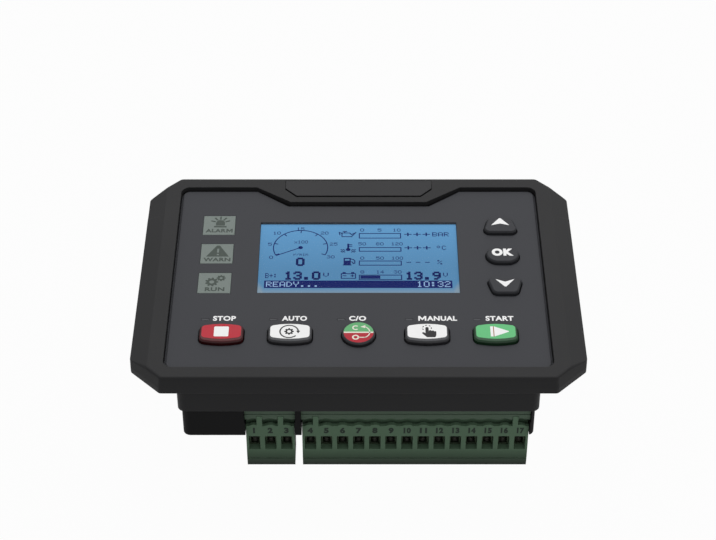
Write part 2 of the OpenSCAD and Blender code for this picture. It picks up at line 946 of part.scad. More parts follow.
// Open box on the main board, its mouth to the rear with an arch at each pole,
// and a line round its outer wall
module header(terminal) {
    poles = terminal[1];
    outer = [header_len(poles) / 2, header_face];
    slot_x = guide_post_w / 2 + fit_gap;
    color(terminal_green) at_terminal(terminal) difference() {
        block([-outer.x, -header_face, mouth_z], [outer.x, -header_inner, main_rear_z]);
        block(
            [header_wall - outer.x, header_wall - header_face, mouth_z - over],
            [outer.x - header_wall, -header_inner - header_wall, main_rear_z - header_floor]
        );
        block(
            [-outer.x - over, -header_face - over, header_line_z],
            [outer.x + over, groove - header_face, header_line_z + groove]
        );
        each_pole(poles) {
            translate([0, -pin_y, main_rear_z - header_floor / 2])
                cube([pin_w + fit_gap, pin_w + fit_gap, header_floor + over], center = true);
            translate([0, header_wall - header_face, mouth_z + arch_rise - scallop_r])
                rotate([90, 0, 0]) cylinder(r = scallop_r, h = header_wall + over);
        }
        guide_places(poles)
            block(
                [-slot_x, -header_face - over, mouth_z - over],
                [slot_x, header_wall + fit_gap - header_face, guide_top_z + fit_gap]
            );
    }
}

// Side view of a plug's body, with a trench behind its outer wall and a grooved, sloping lip
module plug_section() {
    lip_z = plug_end_z + lip_h;
    wall_y = scallop_d - plug_face;
    polygon([
        [wall_y, trench_z], [wall_y, shoulder_z],
        [-plug_face, shoulder_z], [-plug_face, lip_z], [groove - plug_face, lip_z],
        [groove - plug_face, lip_z - groove], [-plug_face, lip_z - groove],
        [lip_slope - plug_face, plug_end_z], [-plug_inner - groove, plug_end_z],
        [-plug_inner, plug_end_z + groove], [-plug_inner, shoulder_z],
        [-tongue_face, shoulder_z], [-tongue_face, trench_z]
    ]);
}

// Wire entry from the side, screw well from the rear and pin slot from the front
module pole_cuts() {
    well_z = plug_end_z + clamp_sunk + clamp_head_h;
    block([-wire_w / 2, -plug_face - over, wire_foot_z], [wire_w / 2, wire_depth - plug_face, wire_top_z]);
    translate([0, -pin_y, plug_end_z - over]) {
        cylinder(r = clamp_head_r + fit_gap, h = well_z - plug_end_z + over);
        cylinder(r = clamp_r + fit_gap, h = wire_foot_z - plug_end_z + 2 * over);
    }
    block(
        [-pin_slot / 2, -pin_y - pin_slot / 2, mouth_z - pin_slot],
        [pin_slot / 2, pin_slot / 2 - pin_y, tongue_z + over]
    );
}

// Right-angle plug: body with a scalloped shoulder, a tongue in the header and guide posts
module plug(terminal) {
    poles = terminal[1];
    length = poles * pole_pitch;
    tongue = length / 2 + header_end - header_wall - slip_gap;
    color(terminal_green) at_terminal(terminal) difference() {
        union() {
            bar_along_x(length) plug_section();
            block(
                [-tongue, -tongue_face, shoulder_z - sliver],
                [tongue, -header_inner - header_wall - slip_gap, tongue_z]
            );
            each_pole(poles) translate([0, scallop_d - plug_face, shoulder_z + scallop_rise - scallop_r])
                rotate([90, 0, 0]) cylinder(r = scallop_r, h = scallop_d);
            guide_places(poles)
                block(
                    [-guide_post_w / 2, -plug_face, shoulder_z - sliver],
                    [guide_post_w / 2, header_wall + fit_gap - plug_face, guide_top_z]
                );
        }
        each_pole(poles) pole_cuts();
    }
}

module power_header() {
    header(POWER);
}

module control_header() {
    header(CONTROL);
}

module voltage_header() {
    header(VOLTAGE);
}

module current_header() {
    header(CURRENT);
}

module power_plug() {
    plug(POWER);
}

module control_plug() {
    plug(CONTROL);
}

module voltage_plug() {
    plug(VOLTAGE);
}

module current_plug() {
    plug(CURRENT);
}

module header_pins() {
    color("gold") pole_places() translate([-pin_w / 2, -pin_y - pin_w / 2, main_rear_z - pin_reach])
        cube([pin_w, pin_w, pin_reach + board_t + pin_tail]);
}

// Metal frame in each wire entry, with a hole for the clamping screw
module clamp_cages() {
    x = wire_w / 2 - fit_gap;
    color(steel) pole_places() difference() {
        block([-x, cage_sunk - plug_face, wire_foot_z], [x, wire_depth - plug_face, wire_top_z - fit_gap]);
        block(
            [cage_wall - x, cage_sunk - plug_face - over, wire_foot_z + cage_wall],
            [x - cage_wall, wire_depth - plug_face - cage_wall, wire_top_z - fit_gap - cage_wall]
        );
        translate([0, -pin_y, wire_foot_z - over]) cylinder(r = clamp_r + fit_gap, h = over + 2 * cage_wall);
    }
}

module terminal_screws() {
    head_z = plug_end_z + clamp_sunk;
    tip_z = wire_foot_z + clamp_bite;
    color(steel) pole_places() translate([0, -pin_y, 0]) difference() {
        union() {
            translate([0, 0, head_z]) cylinder(r = clamp_head_r, h = clamp_head_h);
            translate([0, 0, head_z]) cylinder(r = clamp_r, h = tip_z - head_z);
        }
        translate([0, 0, head_z]) cube([2 * clamp_head_r + over, clamp_slot, 2 * clamp_slot], center = true);
    }
}

front_case();
top_inlay();
panel_gasket();
face_panel();
lcd_lens();
lcd_glass();
lcd_light_guide();
lcd_holder();
alarm_window();
warn_window();
run_window();
key_light_pipes();
indicator_lamps();
stop_key();
auto_key();
transfer_key();
manual_key();
start_key();
up_key();
ok_key();
down_key();
stop_plunger();
auto_plunger();
transfer_plunger();
manual_plunger();
start_plunger();
up_plunger();
ok_plunger();
down_plunger();
switch_bodies();
display_board();
board_spacers();
board_link();
main_board();
board_screws();
relays();
processor();
capacitors();
link_port();
rear_cover();
case_screws();
power_header();
control_header();
voltage_header();
current_header();
power_plug();
control_plug();
voltage_plug();
current_plug();
header_pins();
clamp_cages();
terminal_screws();
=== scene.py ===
import json
import math

import bmesh
import bpy
from bpy.props import FloatProperty, FloatVectorProperty, IntProperty, PointerProperty
from mathutils import Matrix, Vector
from mathutils.geometry import convex_hull_2d


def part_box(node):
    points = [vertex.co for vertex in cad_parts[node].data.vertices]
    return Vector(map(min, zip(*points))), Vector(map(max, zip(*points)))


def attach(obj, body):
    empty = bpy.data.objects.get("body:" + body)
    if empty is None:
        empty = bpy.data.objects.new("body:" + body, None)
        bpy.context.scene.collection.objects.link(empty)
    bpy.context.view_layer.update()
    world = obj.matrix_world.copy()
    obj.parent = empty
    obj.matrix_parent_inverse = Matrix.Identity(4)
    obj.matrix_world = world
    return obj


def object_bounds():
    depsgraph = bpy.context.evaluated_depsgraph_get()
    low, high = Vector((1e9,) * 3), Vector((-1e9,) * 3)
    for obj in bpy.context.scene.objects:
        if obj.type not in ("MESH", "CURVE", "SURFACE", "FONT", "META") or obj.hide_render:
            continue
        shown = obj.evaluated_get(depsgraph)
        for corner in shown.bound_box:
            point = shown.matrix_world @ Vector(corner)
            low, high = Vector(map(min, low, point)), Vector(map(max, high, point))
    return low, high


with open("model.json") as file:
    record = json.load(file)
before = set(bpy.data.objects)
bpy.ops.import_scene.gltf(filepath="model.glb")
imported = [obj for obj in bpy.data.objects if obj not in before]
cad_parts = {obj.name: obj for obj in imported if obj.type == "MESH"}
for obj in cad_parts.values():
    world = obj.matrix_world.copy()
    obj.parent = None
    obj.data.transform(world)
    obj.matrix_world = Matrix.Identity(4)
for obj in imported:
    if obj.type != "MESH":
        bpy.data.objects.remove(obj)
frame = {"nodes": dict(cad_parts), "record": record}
CAD_BOX = [list(corner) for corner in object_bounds()]

bl_info = {
    "name": "Genset controller looks",
    "version": (1, 0, 0),
    "blender": (4, 5, 0),
    "location": "3D View > Sidebar > Controller",
    "description": "Finishes, prints, display picture and studio for the genset controller",
    "category": "Object",
}

MM = 0.001
# Thickness of a print, in millimetres
PRINT = 0.03
BLACK = (0, 0, 0)
WHITE = (1, 1, 1)


def tone(red, green, blue):
    """Linear colour of three screen values from 0 to 255."""
    shares = [value / 255 for value in (red, green, blue)]
    return tuple(s / 12.92 if s <= 0.04045 else ((s + 0.055) / 1.055) ** 2.4 for s in shares)


def shaded(colour, factor):
    """The same colour, darker or lighter."""
    return tuple(min(1.0, value * factor) for value in colour)


def spot(node):
    """Middle and top of a solid seen from the front, in millimetres."""
    low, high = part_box(node)
    return Vector(((low.x + high.x) / 2, (low.y + high.y) / 2, high.z)) / MM


def colour_value(name, description, value):
    return FloatVectorProperty(
        name=name, description=description, default=value, subtype="COLOR", size=3, min=0, max=1
    )


def length_value(name, description, millimetres):
    return FloatProperty(name=name, description=description, default=millimetres * MM, unit="LENGTH", min=0)


def share_value(name, description, value):
    return FloatProperty(name=name, description=description, default=value, subtype="FACTOR", min=0, max=1)


class CaseLooks(bpy.types.PropertyGroup):
    """Plastics of the case, the face and the indicator windows."""

    case: colour_value("Case", "Black plastic of the bezel and the skirt", tone(39, 39, 40))
    # The rear cover's darker black paints the shade that the bezel casts on it; it is the same plastic as
    # the bezel
    cover: colour_value("Cover", "Black plastic of the rear cover", tone(14, 14, 15))
    face: colour_value("Face", "Dark grey of the face panel", tone(61, 62, 66))
    inlay: colour_value("Inlay", "Insert in the tab of the upper rim", tone(42, 42, 44))
    window: colour_value("Window", "Film of the three indicator windows", tone(109, 120, 115))
    window_sign: colour_value("Window sign", "Unlit signs in the windows", tone(62, 72, 66))
    soft_edge: length_value("Soft edge", "Rounding of moulded edges", 0.3)
    grain_depth: length_value("Grain depth", "Depth of the moulded texture", 0.006)
    wear: share_value("Wear", "How much paler the handled edges are", 0.3)


class KeyLooks(bpy.types.PropertyGroup):
    """Rubber keys, their words and their signs."""

    # The grey keys' dark sides are partly this rubber's own colour and partly painted shade
    body: colour_value("Key body", "Rubber of the grey keys' sides", tone(40, 40, 43))
    red: colour_value("Red", "Stop key and the open side of the transfer key", tone(188, 32, 50))
    green: colour_value("Green", "Start key", tone(102, 196, 128))
    pale_green: colour_value("Pale green", "Closed side of the transfer key", tone(108, 186, 124))
    white: colour_value("White", "Printed fields, signs and words", tone(252, 252, 252))
    cream: colour_value("Cream", "Sign on the transfer key", tone(240, 236, 222))
    ink: colour_value("Ink", "Dark signs on white fields", tone(24, 24, 26))
    word_height: length_value("Word height", "Capitals of the words above the keys", 2.2)
    word_rise: length_value("Word rise", "Height of the words above the middle of the keys", 6.8)
    square: length_value("Square", "Side of the stop sign", 4.5)
    sign_rise: length_value("Sign rise", "Height of the signs above the middle of the keys", 0.4)
    bar_width: length_value("Bar width", "Width of a bar key's printed top, with its margin", 13.6)
    bar_height: length_value("Bar height", "Height of a bar key's printed top, with its margin", 8.3)
    bar_corner: length_value("Bar corner", "Corner radius of a bar key", 2.0)
    bar_bow: length_value("Bar bow", "How far a bar key is higher in its middle", 0.6)
    field_inset: length_value("Field inset", "Margin of a printed field on a bar key", 0.75)
    field_rise: length_value("Field rise", "Height of the printed fields above the middle of the keys", 0.5)


class DisplayLooks(bpy.types.PropertyGroup):
    """Lit display behind its clear lens."""

    field: colour_value("Field", "Lit ground of the display", tone(88, 140, 182))
    margin: colour_value("Margin", "Brighter margins of the display", tone(136, 158, 175))
    ink: colour_value("Ink", "Dark dots and lines", tone(20, 33, 100))
    pale: colour_value("Pale", "Text left open in the status bar", tone(150, 185, 225))
    glow: share_value("Glow", "Share of the display's colour that shines by itself", 0.45)
    dot_fill: share_value("Dot fill", "Share of the dot pitch that a dot covers", 0.94)
    line: length_value("Line", "Width of the drawn lines", 0.32)
    gauge_radius: length_value("Gauge radius", "Radius of the speed scale", 8.8)
    tick_length: length_value("Tick length", "Length of the marks on the speed scale", 1.3)
    gauge_ticks: IntProperty(name="Gauge ticks", description="Marks on the speed scale", default=7, min=2)


class TerminalLooks(bpy.types.PropertyGroup):
    """Green terminals."""

    plug: colour_value("Plug", "Plastic of the plugs", tone(99, 125, 102))
    header: colour_value("Header", "Plastic of the fixed headers", tone(90, 108, 92))
    number: colour_value("Number", "Pole numbers on the plugs", tone(18, 34, 24))
    number_height: length_value("Number height", "Height of the pole numbers", 2.4)
    number_width: length_value("Number width", "Width of the numbers of two digits", 2.3)
    number_drop: length_value("Number drop", "Depth of the numbers' middle below the header's mouth", 4.75)
    pitch: length_value("Pole pitch", "Distance between poles", 5.08)


class StageLooks(bpy.types.PropertyGroup):
    """Floor, light and camera."""

    elevation: FloatProperty(
        name="Elevation", description="Height of the camera above the horizon",
        default=math.radians(40.3), subtype="ANGLE",
    )
    distance: length_value("Distance", "Distance of the camera from the middle of the bezel", 634.2)
    rise: length_value("Rise", "How far the picture's middle lies above the middle of the bezel", 5.55)
    aside: length_value("Aside", "How far the camera stands left of the middle", 0.17)
    lens: FloatProperty(
        name="Lens", description="Focal length in millimetres on a 36 mm sensor", default=99.55
    )
    floor: colour_value("Floor", "Pale floor", (0.35, 0.35, 0.35))
    floor_white: share_value("Floor white", "How far the floor is seen as plain white", 0.97)
    ambient: share_value("Ambient", "Light from all around", 0.46)
    softbox: FloatProperty(
        name="Softbox", description="Power of the overhead light in watts", default=5.4, min=0
    )
    fill: FloatProperty(name="Fill", description="Power of the front light in watts", default=0.8, min=0)


def add_node(tree, kind, settings=None, sockets=None):
    """New node of a tree: its type, its settings, then the values or links of its sockets."""
    node = tree.nodes.new(kind)
    for name, value in (settings or {}).items():
        setattr(node, name, value)
    for name, value in (sockets or {}).items():
        socket = node.inputs[name]
        if isinstance(value, bpy.types.NodeSocket):
            tree.links.new(value, socket)
        elif socket.type == "RGBA":
            socket.default_value = (*value, 1)
        else:
            socket.default_value = value
    return node


class Value:
    """Output of a node; sums on it add Math nodes to the finish."""

    def __init__(self, finish, socket):
        self.finish = finish
        self.socket = socket

    def __add__(self, other):
        return self.finish.math("ADD", self, other)

    def __sub__(self, other):
        return self.finish.math("SUBTRACT", self, other)

    def __rsub__(self, other):
        return self.finish.math("SUBTRACT", other, self)

    def __mul__(self, other):
        return self.finish.math("MULTIPLY", self, other)

    def __truediv__(self, other):
        return self.finish.math("DIVIDE", self, other)

    __radd__ = __add__
    __rmul__ = __mul__


class Finish:
    """Material or world whose nodes are written as short expressions."""

    def __init__(self, name, owner=None):
        self.material = owner or bpy.data.materials.new(name)
        self.material.use_nodes = True
        self.tree = self.material.node_tree
        self.tree.nodes.clear()

    def add(self, kind, settings=None, sockets=None, output=0):
        """Adds one node, and gives the value on one of its outputs."""
        plain = {name: getattr(value, "socket", value) for name, value in (sockets or {}).items()}
        node = add_node(self.tree, kind, settings, plain)
        return Value(self, node.outputs[output]) if node.outputs else None

    def math(self, operation, first, second=0.0, clamp=False):
        settings = {"operation": operation, "use_clamp": clamp}
        return self.add("ShaderNodeMath", settings, {0: first, 1: second})

    def clamp(self, value):
        return self.math("ADD", value, clamp=True)

    def mix(self, share, first, second):
        """Colour between two colours."""
        return self.add("ShaderNodeMix", {"data_type": "RGBA"}, {0: share, 6: first, 7: second}, 2)

    def mottle(self, cloud, colour, dark, pale):
        """Colour that a cloud varies from darker to paler."""
        return self.mix(cloud, shaded(colour, dark), shaded(colour, pale))

    def place(self):
        return self.add("ShaderNodeTexCoord", output="Object")

    def axis(self, letter):
        return self.add("ShaderNodeSeparateXYZ", {}, {0: self.place()}, letter)

    def noise(self, scale, detail=2.0, stretch=(1, 1, 1)):
        spread = self.add("ShaderNodeMapping", {}, {"Vector": self.place(), "Scale": stretch})
        return self.add("ShaderNodeTexNoise", {}, {"Vector": spread, "Scale": scale, "Detail": detail})

    def soft(self, radius):
        """Normals that round an edge."""
        return self.add("ShaderNodeBevel", {"samples": 6}, {"Radius": radius})

    def edges(self, soft, gain=4.0):
        """Share of an edge, from the difference of soft and flat normals."""
        flat = self.add("ShaderNodeNewGeometry", output="True Normal")
        same = self.add("ShaderNodeVectorMath", {"operation": "DOT_PRODUCT"}, {0: soft, 1: flat}, "Value")
        return self.math("MULTIPLY", 1 - same, gain, clamp=True)

    def bump(self, height, depth, normal=None):
        sockets = {"Height": height, "Distance": depth}
        if normal:
            sockets["Normal"] = normal
        return self.add("ShaderNodeBump", {}, sockets)

    def close(self, shader, output="ShaderNodeOutputMaterial"):
        self.add(output, {}, {"Surface": shader})
        return self.material

    def surface(self, **sockets):
        """Principled shader; the sockets' names are written with underscores."""
        named = {name.replace("_", " "): value for name, value in sockets.items()}
        named.setdefault("Specular IOR Level", 0.3)
        return self.close(self.add("ShaderNodeBsdfPrincipled", {}, named))

    def lit(self, body, glow, roughness):
        """Surface whose colour partly shines by itself."""
        return self.surface(
            Base_Color=self.mix(1.0 - glow, BLACK, body), Emission_Color=self.mix(glow, BLACK, body),
            Emission_Strength=1.0, Roughness=roughness, Specular_IOR_Level=0.0,
        )


def moulded(name, colour, roughness, case, specular=0.12, grain=2400.0, depth=1.0, foot=None):
    """Moulded plastic: cloudy tone, fine texture, slightly polished edges, and painted shade that darkens
    the colour towards the lowest part.
    """
    finish = Finish(name)
    cloud = finish.noise(38.0, 3.0)
    soft = finish.soft(case.soft_edge)
    edge = finish.edges(soft)
    body = finish.mottle(cloud, colour, 0.92, 1.08)
    # foot paints shade: the colour darkens from its high height down to its low height
    if foot:
        low, high, shade = foot
        rise = finish.clamp((finish.axis("Z") - low) / (high - low))
        body = finish.mix(rise, shaded(colour, shade), body)
    return finish.surface(
        Base_Color=finish.mix(edge * case.wear, body, shaded(colour, 2.0)),
        Roughness=roughness + (cloud - 0.5) * 0.14 - edge * 0.12,
        Specular_IOR_Level=specular,
        Normal=finish.bump(finish.noise(grain), case.grain_depth * depth, soft),
    )


def key_rubber(name, top, body, case, specular=0.25):
    """Satin rubber whose top colour fades down the softened upper edge into a darker side colour; the
    darker sides are partly the rubber's own colour and partly painted shade.
    """
    finish = Finish(name)
    cloud = finish.noise(160.0, 3.0)
    fade = 0.5 * MM
    fade_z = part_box("stop_key")[1].z - fade
    rise = finish.clamp((finish.axis("Z") - fade_z) / fade)
    return finish.surface(
        Base_Color=finish.mix(rise * rise * rise, body, finish.mottle(cloud, top, 0.95, 1.04)),
        Roughness=0.46 + (cloud - 0.5) * 0.16,
        Specular_IOR_Level=specular,
        Normal=finish.bump(finish.noise(3600.0, 1.0), case.grain_depth * 0.7, finish.soft(case.soft_edge)),
    )


def film(name, colour, case):
    """Translucent window film with a faint diffuser pattern."""
    finish = Finish(name)
    cloud = finish.noise(260.0, 3.0)
    fine = finish.noise(2600.0, 1.0)
    return finish.surface(
        Base_Color=finish.mix(fine * 0.3, finish.mottle(cloud, colour, 0.9, 1.08), shaded(colour, 0.86)),
        Roughness=0.34 + (cloud - 0.5) * 0.1,
        Specular_IOR_Level=0.25,
        Normal=finish.bump(fine, case.grain_depth * 0.4, finish.soft(case.soft_edge)),
    )


def lit_cell(name, display):
    """Lit ground of the display, brighter to the top and along its margins."""
    finish = Finish(name)
    low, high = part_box("lcd_lens")
    rise = (finish.axis("Y") - low.y) / (high.y - low.y)
    aside = finish.math("ABSOLUTE", (finish.axis("X") - (low.x + high.x) / 2) / (high.x - low.x))
    lower_margin, side_margin, bright_from = 0.1, 0.03, 0.35
    outer = finish.clamp((aside - (0.5 - side_margin)) / side_margin)
    margin = finish.clamp(1 - rise / lower_margin + outer)
    top = finish.clamp((rise - bright_from) / (1 - bright_from))
    cloud = finish.noise(70.0)
    body = finish.mottle(cloud, display.field, 0.95, 1.05)
    body = finish.mix(top, body, shaded(display.field, 1.32))
    body = finish.mix(margin, body, display.margin)
    return finish.lit(body, display.glow, 0.55 + (cloud - 0.5) * 0.1)


def display_ink(name, colour, display):
    """Dots of the display, which keep a little of the light behind them."""
    finish = Finish(name)
    cloud = finish.noise(300.0)
    return finish.lit(finish.mottle(cloud, colour, 0.9, 1.1), display.glow, 0.5 + (cloud - 0.5) * 0.1)


def clear_cover(name):
    """Clear lens: faint at a steep view and more mirror-like at a flat one."""
    finish = Finish(name)
    smear = finish.noise(90.0, 3.0)
    facing = finish.add("ShaderNodeLayerWeight", {}, {"Blend": 0.25}, "Fresnel")
    return finish.surface(
        Base_Color=tone(225, 236, 244), Alpha=0.01 + facing * 0.12, Roughness=0.06 + smear * 0.1,
        Specular_IOR_Level=0.4,
    )


def satin(name, colour, roughness):
    """Plain satin plastic with a soft mottle."""
    finish = Finish(name)
    cloud = finish.noise(120.0, 3.0)
    return finish.surface(
        Base_Color=finish.mottle(cloud, colour, 0.88, 1.08),
        Roughness=roughness + (cloud - 0.5) * 0.2,
        Specular_IOR_Level=0.4,
        Normal=finish.bump(finish.noise(2200.0), 0.004 * MM, finish.soft(0.2 * MM)),
    )


def brushed(name, colour, roughness):
    """Plated metal with fine lines and dull patches."""
    finish = Finish(name)
    lines = finish.noise(900.0, stretch=(1, 1, 0.08))
    cloud = finish.noise(210.0, 3.0)
    return finish.surface(
        Base_Color=finish.mottle(cloud, colour, 0.8, 1.0),
        Metallic=1.0,
        Roughness=roughness + (lines - 0.5) * 0.2 + (cloud - 0.5) * 0.15,
        Normal=finish.bump(lines, 0.004 * MM, finish.soft(0.15 * MM)),
    )


def solder_mask(name, colour):
    """Circuit board: solder mask over faint copper tracks."""
    finish = Finish(name)
    blocks = finish.add(
        "ShaderNodeTexBrick", {"offset": 0.5},
        {"Vector": finish.place(), "Scale": 110.0, "Mortar Size": 0.06, "Mortar Smooth": 0.2}, "Fac",
    )
    cloud = finish.noise(60.0, 3.0)
    return finish.surface(
        Base_Color=finish.mix(blocks * 0.5, finish.mottle(cloud, colour, 0.85, 1.1), shaded(colour, 1.9)),
        Roughness=0.35 + (cloud - 0.5) * 0.15, Specular_IOR_Level=0.5,
        Normal=finish.bump(blocks, 0.02 * MM),
    )


def print_ink(name, colour, roughness=0.5):
    """Screen-printed ink, slightly uneven."""
    finish = Finish(name)
    cloud = finish.noise(420.0, 3.0)
    return finish.surface(
        Base_Color=finish.mottle(cloud, colour, 0.93, 1.03),
        Roughness=roughness + (cloud - 0.5) * 0.2,
        Specular_IOR_Level=0.2,
        Normal=finish.bump(finish.noise(3000.0), 0.002 * MM),
    )


def slot_finishes(scene):
    """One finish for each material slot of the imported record."""
    case, key, terminal = scene.case_looks, scene.key_looks, scene.terminal_looks
    steel = tone(190, 190, 186)
    plug_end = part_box("control_plug")[0].z
    # Painted shade on the plugs: their colour darkens from 8.4 mm above their lower end down to 1 mm above
    # it
    plug_painted_shade = (plug_end + 1 * MM, plug_end + 8.4 * MM, 0.14)
    return {
        "case_plastic": moulded("Case plastic", case.case, 0.52, case),
        "inlay_plastic": moulded("Inlay plastic", case.inlay, 0.42, case, depth=0.3),
        "gasket_rubber": moulded("Gasket rubber", tone(26, 26, 26), 0.8, case, 0.1, 1500.0, 2.0),
        "panel_plastic": moulded("Face plastic", case.face, 0.56, case, grain=3200.0, depth=0.8),
        "clear_lens": clear_cover("Clear lens"),
        "display_cell": lit_cell("Display cell", scene.display_looks),
        "light_guide": satin("Light guide", tone(240, 243, 246), 0.25),
        "white_plastic": satin("White plastic", tone(228, 228, 224), 0.45),
        "window_plastic": film("Window film", case.window, case),
        "pipe_plastic": print_ink("Smoked light pipe", tone(68, 69, 73)),
        "lamp_plastic": satin("Lamp body", tone(235, 230, 205), 0.35),
        # The keys' darker side colours are partly their own rubber and partly painted shade
        "red_key": key_rubber("Red key", shaded(key.red, 0.14), shaded(key.red, 0.05), case),
        "green_key": key_rubber("Green key", shaded(key.green, 0.1), shaded(key.green, 0.05), case),
        "grey_key": key_rubber("Grey key", case.face, key.body, case),
        "plunger_plastic": satin("Plunger plastic", tone(34, 34, 34), 0.45),
        "switch_metal": brushed("Switch steel", steel, 0.35),
        "board_green": solder_mask("Solder mask", tone(24, 92, 52)),
        "chip_plastic": satin("Chip plastic", tone(38, 38, 38), 0.5),
        "can_aluminium": brushed("Can aluminium", tone(206, 206, 208), 0.3),
        "port_metal": brushed("Port shell", tone(196, 196, 190), 0.28),
        "screw_steel": brushed("Zinc plated steel", steel, 0.3),
        "header_green": moulded("Header green", terminal.header, 0.5, case, 0.12, 2000.0, 0.7),
        "terminal_green": moulded("Plug green", terminal.plug, 0.5, case, 0.12, 2000.0, 0.7, plug_painted_shade),
        "pin_brass": brushed("Tinned brass", tone(214, 190, 128), 0.3),
        # The clamp steel is darkened and tinted green as painted shade inside the wire entries
        "cage_steel": brushed("Clamp steel", tone(72, 84, 68), 0.6),
    }


def arc(centre, radius, start, end, steps=36):
    """Points along an arc, with angles in degrees."""
    turns = [math.radians(start + (end - start) * step / steps) for step in range(steps + 1)]
    return [(centre[0] + radius * math.cos(t), centre[1] + radius * math.sin(t)) for t in turns]


def disc(centre, radius, steps=36):
    return arc(centre, radius, 0, 360, steps)[:-1]


def band(centre, radius, width, start, end, steps=48):
    """Outline of a curved line of even width."""
    outer = arc(centre, radius + width / 2, start, end, steps)
    return outer + arc(centre, radius - width / 2, end, start, steps)


def rod(start, end, width):
    """Outline of a straight line of even width."""
    along = Vector((end[0] - start[0], end[1] - start[1])).normalized() * width / 2
    side = Vector((-along.y, along.x))
    corners = [Vector(start) - along + side, Vector(start) - along - side]
    corners += [Vector(end) + along - side, Vector(end) + along + side]
    return [tuple(corner) for corner in corners]


def rect(left, low, right, high, round_by=0.0):
    """Outline of an upright rectangle, whose corners may be rounded."""
    if not round_by:
        return [(left, low), (right, low), (right, high), (left, high)]
    corners = [(right, high, 0), (left, high, 90), (left, low, 180), (right, low, 270)]
    points = []
    for x, y, turn in corners:
        inner = (x - round_by if x == right else x + round_by, y - round_by if y == high else y + round_by)
        points += arc(inner, round_by, turn, turn + 90, 6)
    return points


def open_box(left, low, right, high, line):
    """Outer and inner outline of a drawn box."""
    return [rect(left, low, right, high), rect(left + line, low + line, right - line, high - line)]


def gear(centre, radius, teeth, hole):
    """Outline of a small toothed wheel, and its hole."""
    points = []
    for tooth in range(teeth):
        for share, reach in ((-0.34, 0.76), (-0.2, 1.0), (0.2, 1.0), (0.34, 0.76)):
            turn = 360 * (tooth + share) / teeth
            points += arc(centre, radius * reach, turn, turn, 1)[:1]
    return [points, disc(centre, hole, 20)]


def bowed_field(width, height, corner, bow, inset):
    """Outline of a bar key's flat top, drawn in by inset."""
    points = []
    for step in (-1, -0.5, 0, 0.5, 1):
        for side in (-1, 1):
            centre = (step * (width / 2 - corner), side * (height / 2 - corner - bow * step * step))
            points += disc(centre, corner - inset, 24)
    return [points[index] for index in convex_hull_2d(points)]


def capital_m(left, low, width, height, stroke):
    """Outline of a bold capital M, which the built-in face can't give."""
    right, high, middle = left + width, low + height, left + width / 2
    foot, notch = low + height * 0.1, low + height * 0.5
    crotch, shoulder = low + height * 0.58, stroke * 1.15
    points = [(left, low), (left + stroke, low), (left + stroke, crotch), (middle, foot)]
    points += [(right - stroke, crotch), (right - stroke, low), (right, low), (right, high)]
    return points + [(right - shoulder, high), (middle, notch), (left + shoulder, high), (left, high)]


def new_object(name, data):
    """Object of some data, linked to the scene."""
    item = bpy.data.objects.new(name, data)
    bpy.context.scene.collection.objects.link(item)
    return item


def plain_mesh(shape):
    """Mesh of an object as it shows; the object itself is removed, and so is a curve."""
    graph = bpy.context.evaluated_depsgraph_get()
    mesh = bpy.data.meshes.new_from_object(shape.evaluated_get(graph), depsgraph=graph)
    data = shape.data
    shape.modifiers.clear()
    bpy.data.objects.remove(shape)
    if isinstance(data, bpy.types.Curve):
        bpy.data.curves.remove(data)
    return mesh


def mount(name, mesh, finish, body):
    """Object of a finished mesh, with its finish, on its body."""
    piece = new_object(name, mesh)
    mesh.materials.clear()
    mesh.materials.append(finish)
    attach(piece, body)
    return piece


def letters(text, bold):
    """Mesh of a word in the built-in face at size one."""
    curve = bpy.data.curves.new("letters", "FONT")
    curve.body = text
    curve.offset = bold
    curve.space_character = 1 + 2 * bold
    curve.resolution_u = 4
    curve.extrude = PRINT / 2
    return plain_mesh(new_object("letters", curve))


class Print:
    """Thin raised shapes of one colour, in millimetres at a place, that become one piece."""

    def __init__(self, place=None):
        self.mesh = bmesh.new()
        self.place = place

    def add(self, flat, shift):
        flat.transform(self.place @ shift)
        self.mesh.from_mesh(flat)
        bpy.data.meshes.remove(flat)

    def shape(self, *loops):
        """Adds the area inside the loops, less what an inner loop cuts out."""
        curve = bpy.data.curves.new("shape", "CURVE")
        curve.dimensions = "2D"
        curve.fill_mode = "BOTH"
        curve.extrude = PRINT / 2
        for loop in loops:
            spline = curve.splines.new("POLY")
            spline.points.add(len(loop) - 1)
            for point, (x, y) in zip(spline.points, loop):
                point.co = (x, y, 0, 1)
            spline.use_cyclic_u = True
        self.add(plain_mesh(new_object("shape", curve)), Matrix.Translation((0, 0, PRINT / 2)))

    def word(self, text, left, right, low, height, bold):
        """Adds a word on low from left to right, or without right in its own width about left."""
        capital = letters("H", bold)
        tall = max(v.co.y for v in capital.vertices) - min(v.co.y for v in capital.vertices)
        bpy.data.meshes.remove(capital)
        mesh = letters(text, bold)
        start = min(v.co.x for v in mesh.vertices)
        end = max(v.co.x for v in mesh.vertices)
        if right is None:
            half = (end - start) * height / tall / 2
            left, right = left - half, left + half
        fit = Matrix.Diagonal(((right - left) / (end - start), height / tall, 1, 1))
        lift = Matrix.Translation((left, low, PRINT / 2))
        self.add(mesh, lift @ fit @ Matrix.Translation((-start, bold, 0)))

    def piece(self, name, look, body, slot):
        """Closes the print as one object on a body; look is a finish, or the colour of an ink."""
        if not isinstance(look, bpy.types.Material):
            look = print_ink(name.replace("_", " ").capitalize() + " ink", look)
        bmesh.ops.remove_doubles(self.mesh, verts=self.mesh.verts, dist=0.0005)
        bmesh.ops.recalc_face_normals(self.mesh, faces=self.mesh.faces)
        bmesh.ops.scale(self.mesh, vec=(MM, MM, MM), verts=self.mesh.verts)
        mesh = bpy.data.meshes.new(name)
        self.mesh.to_mesh(mesh)
        self.mesh.free()
        return mount(name, mesh, look, body)


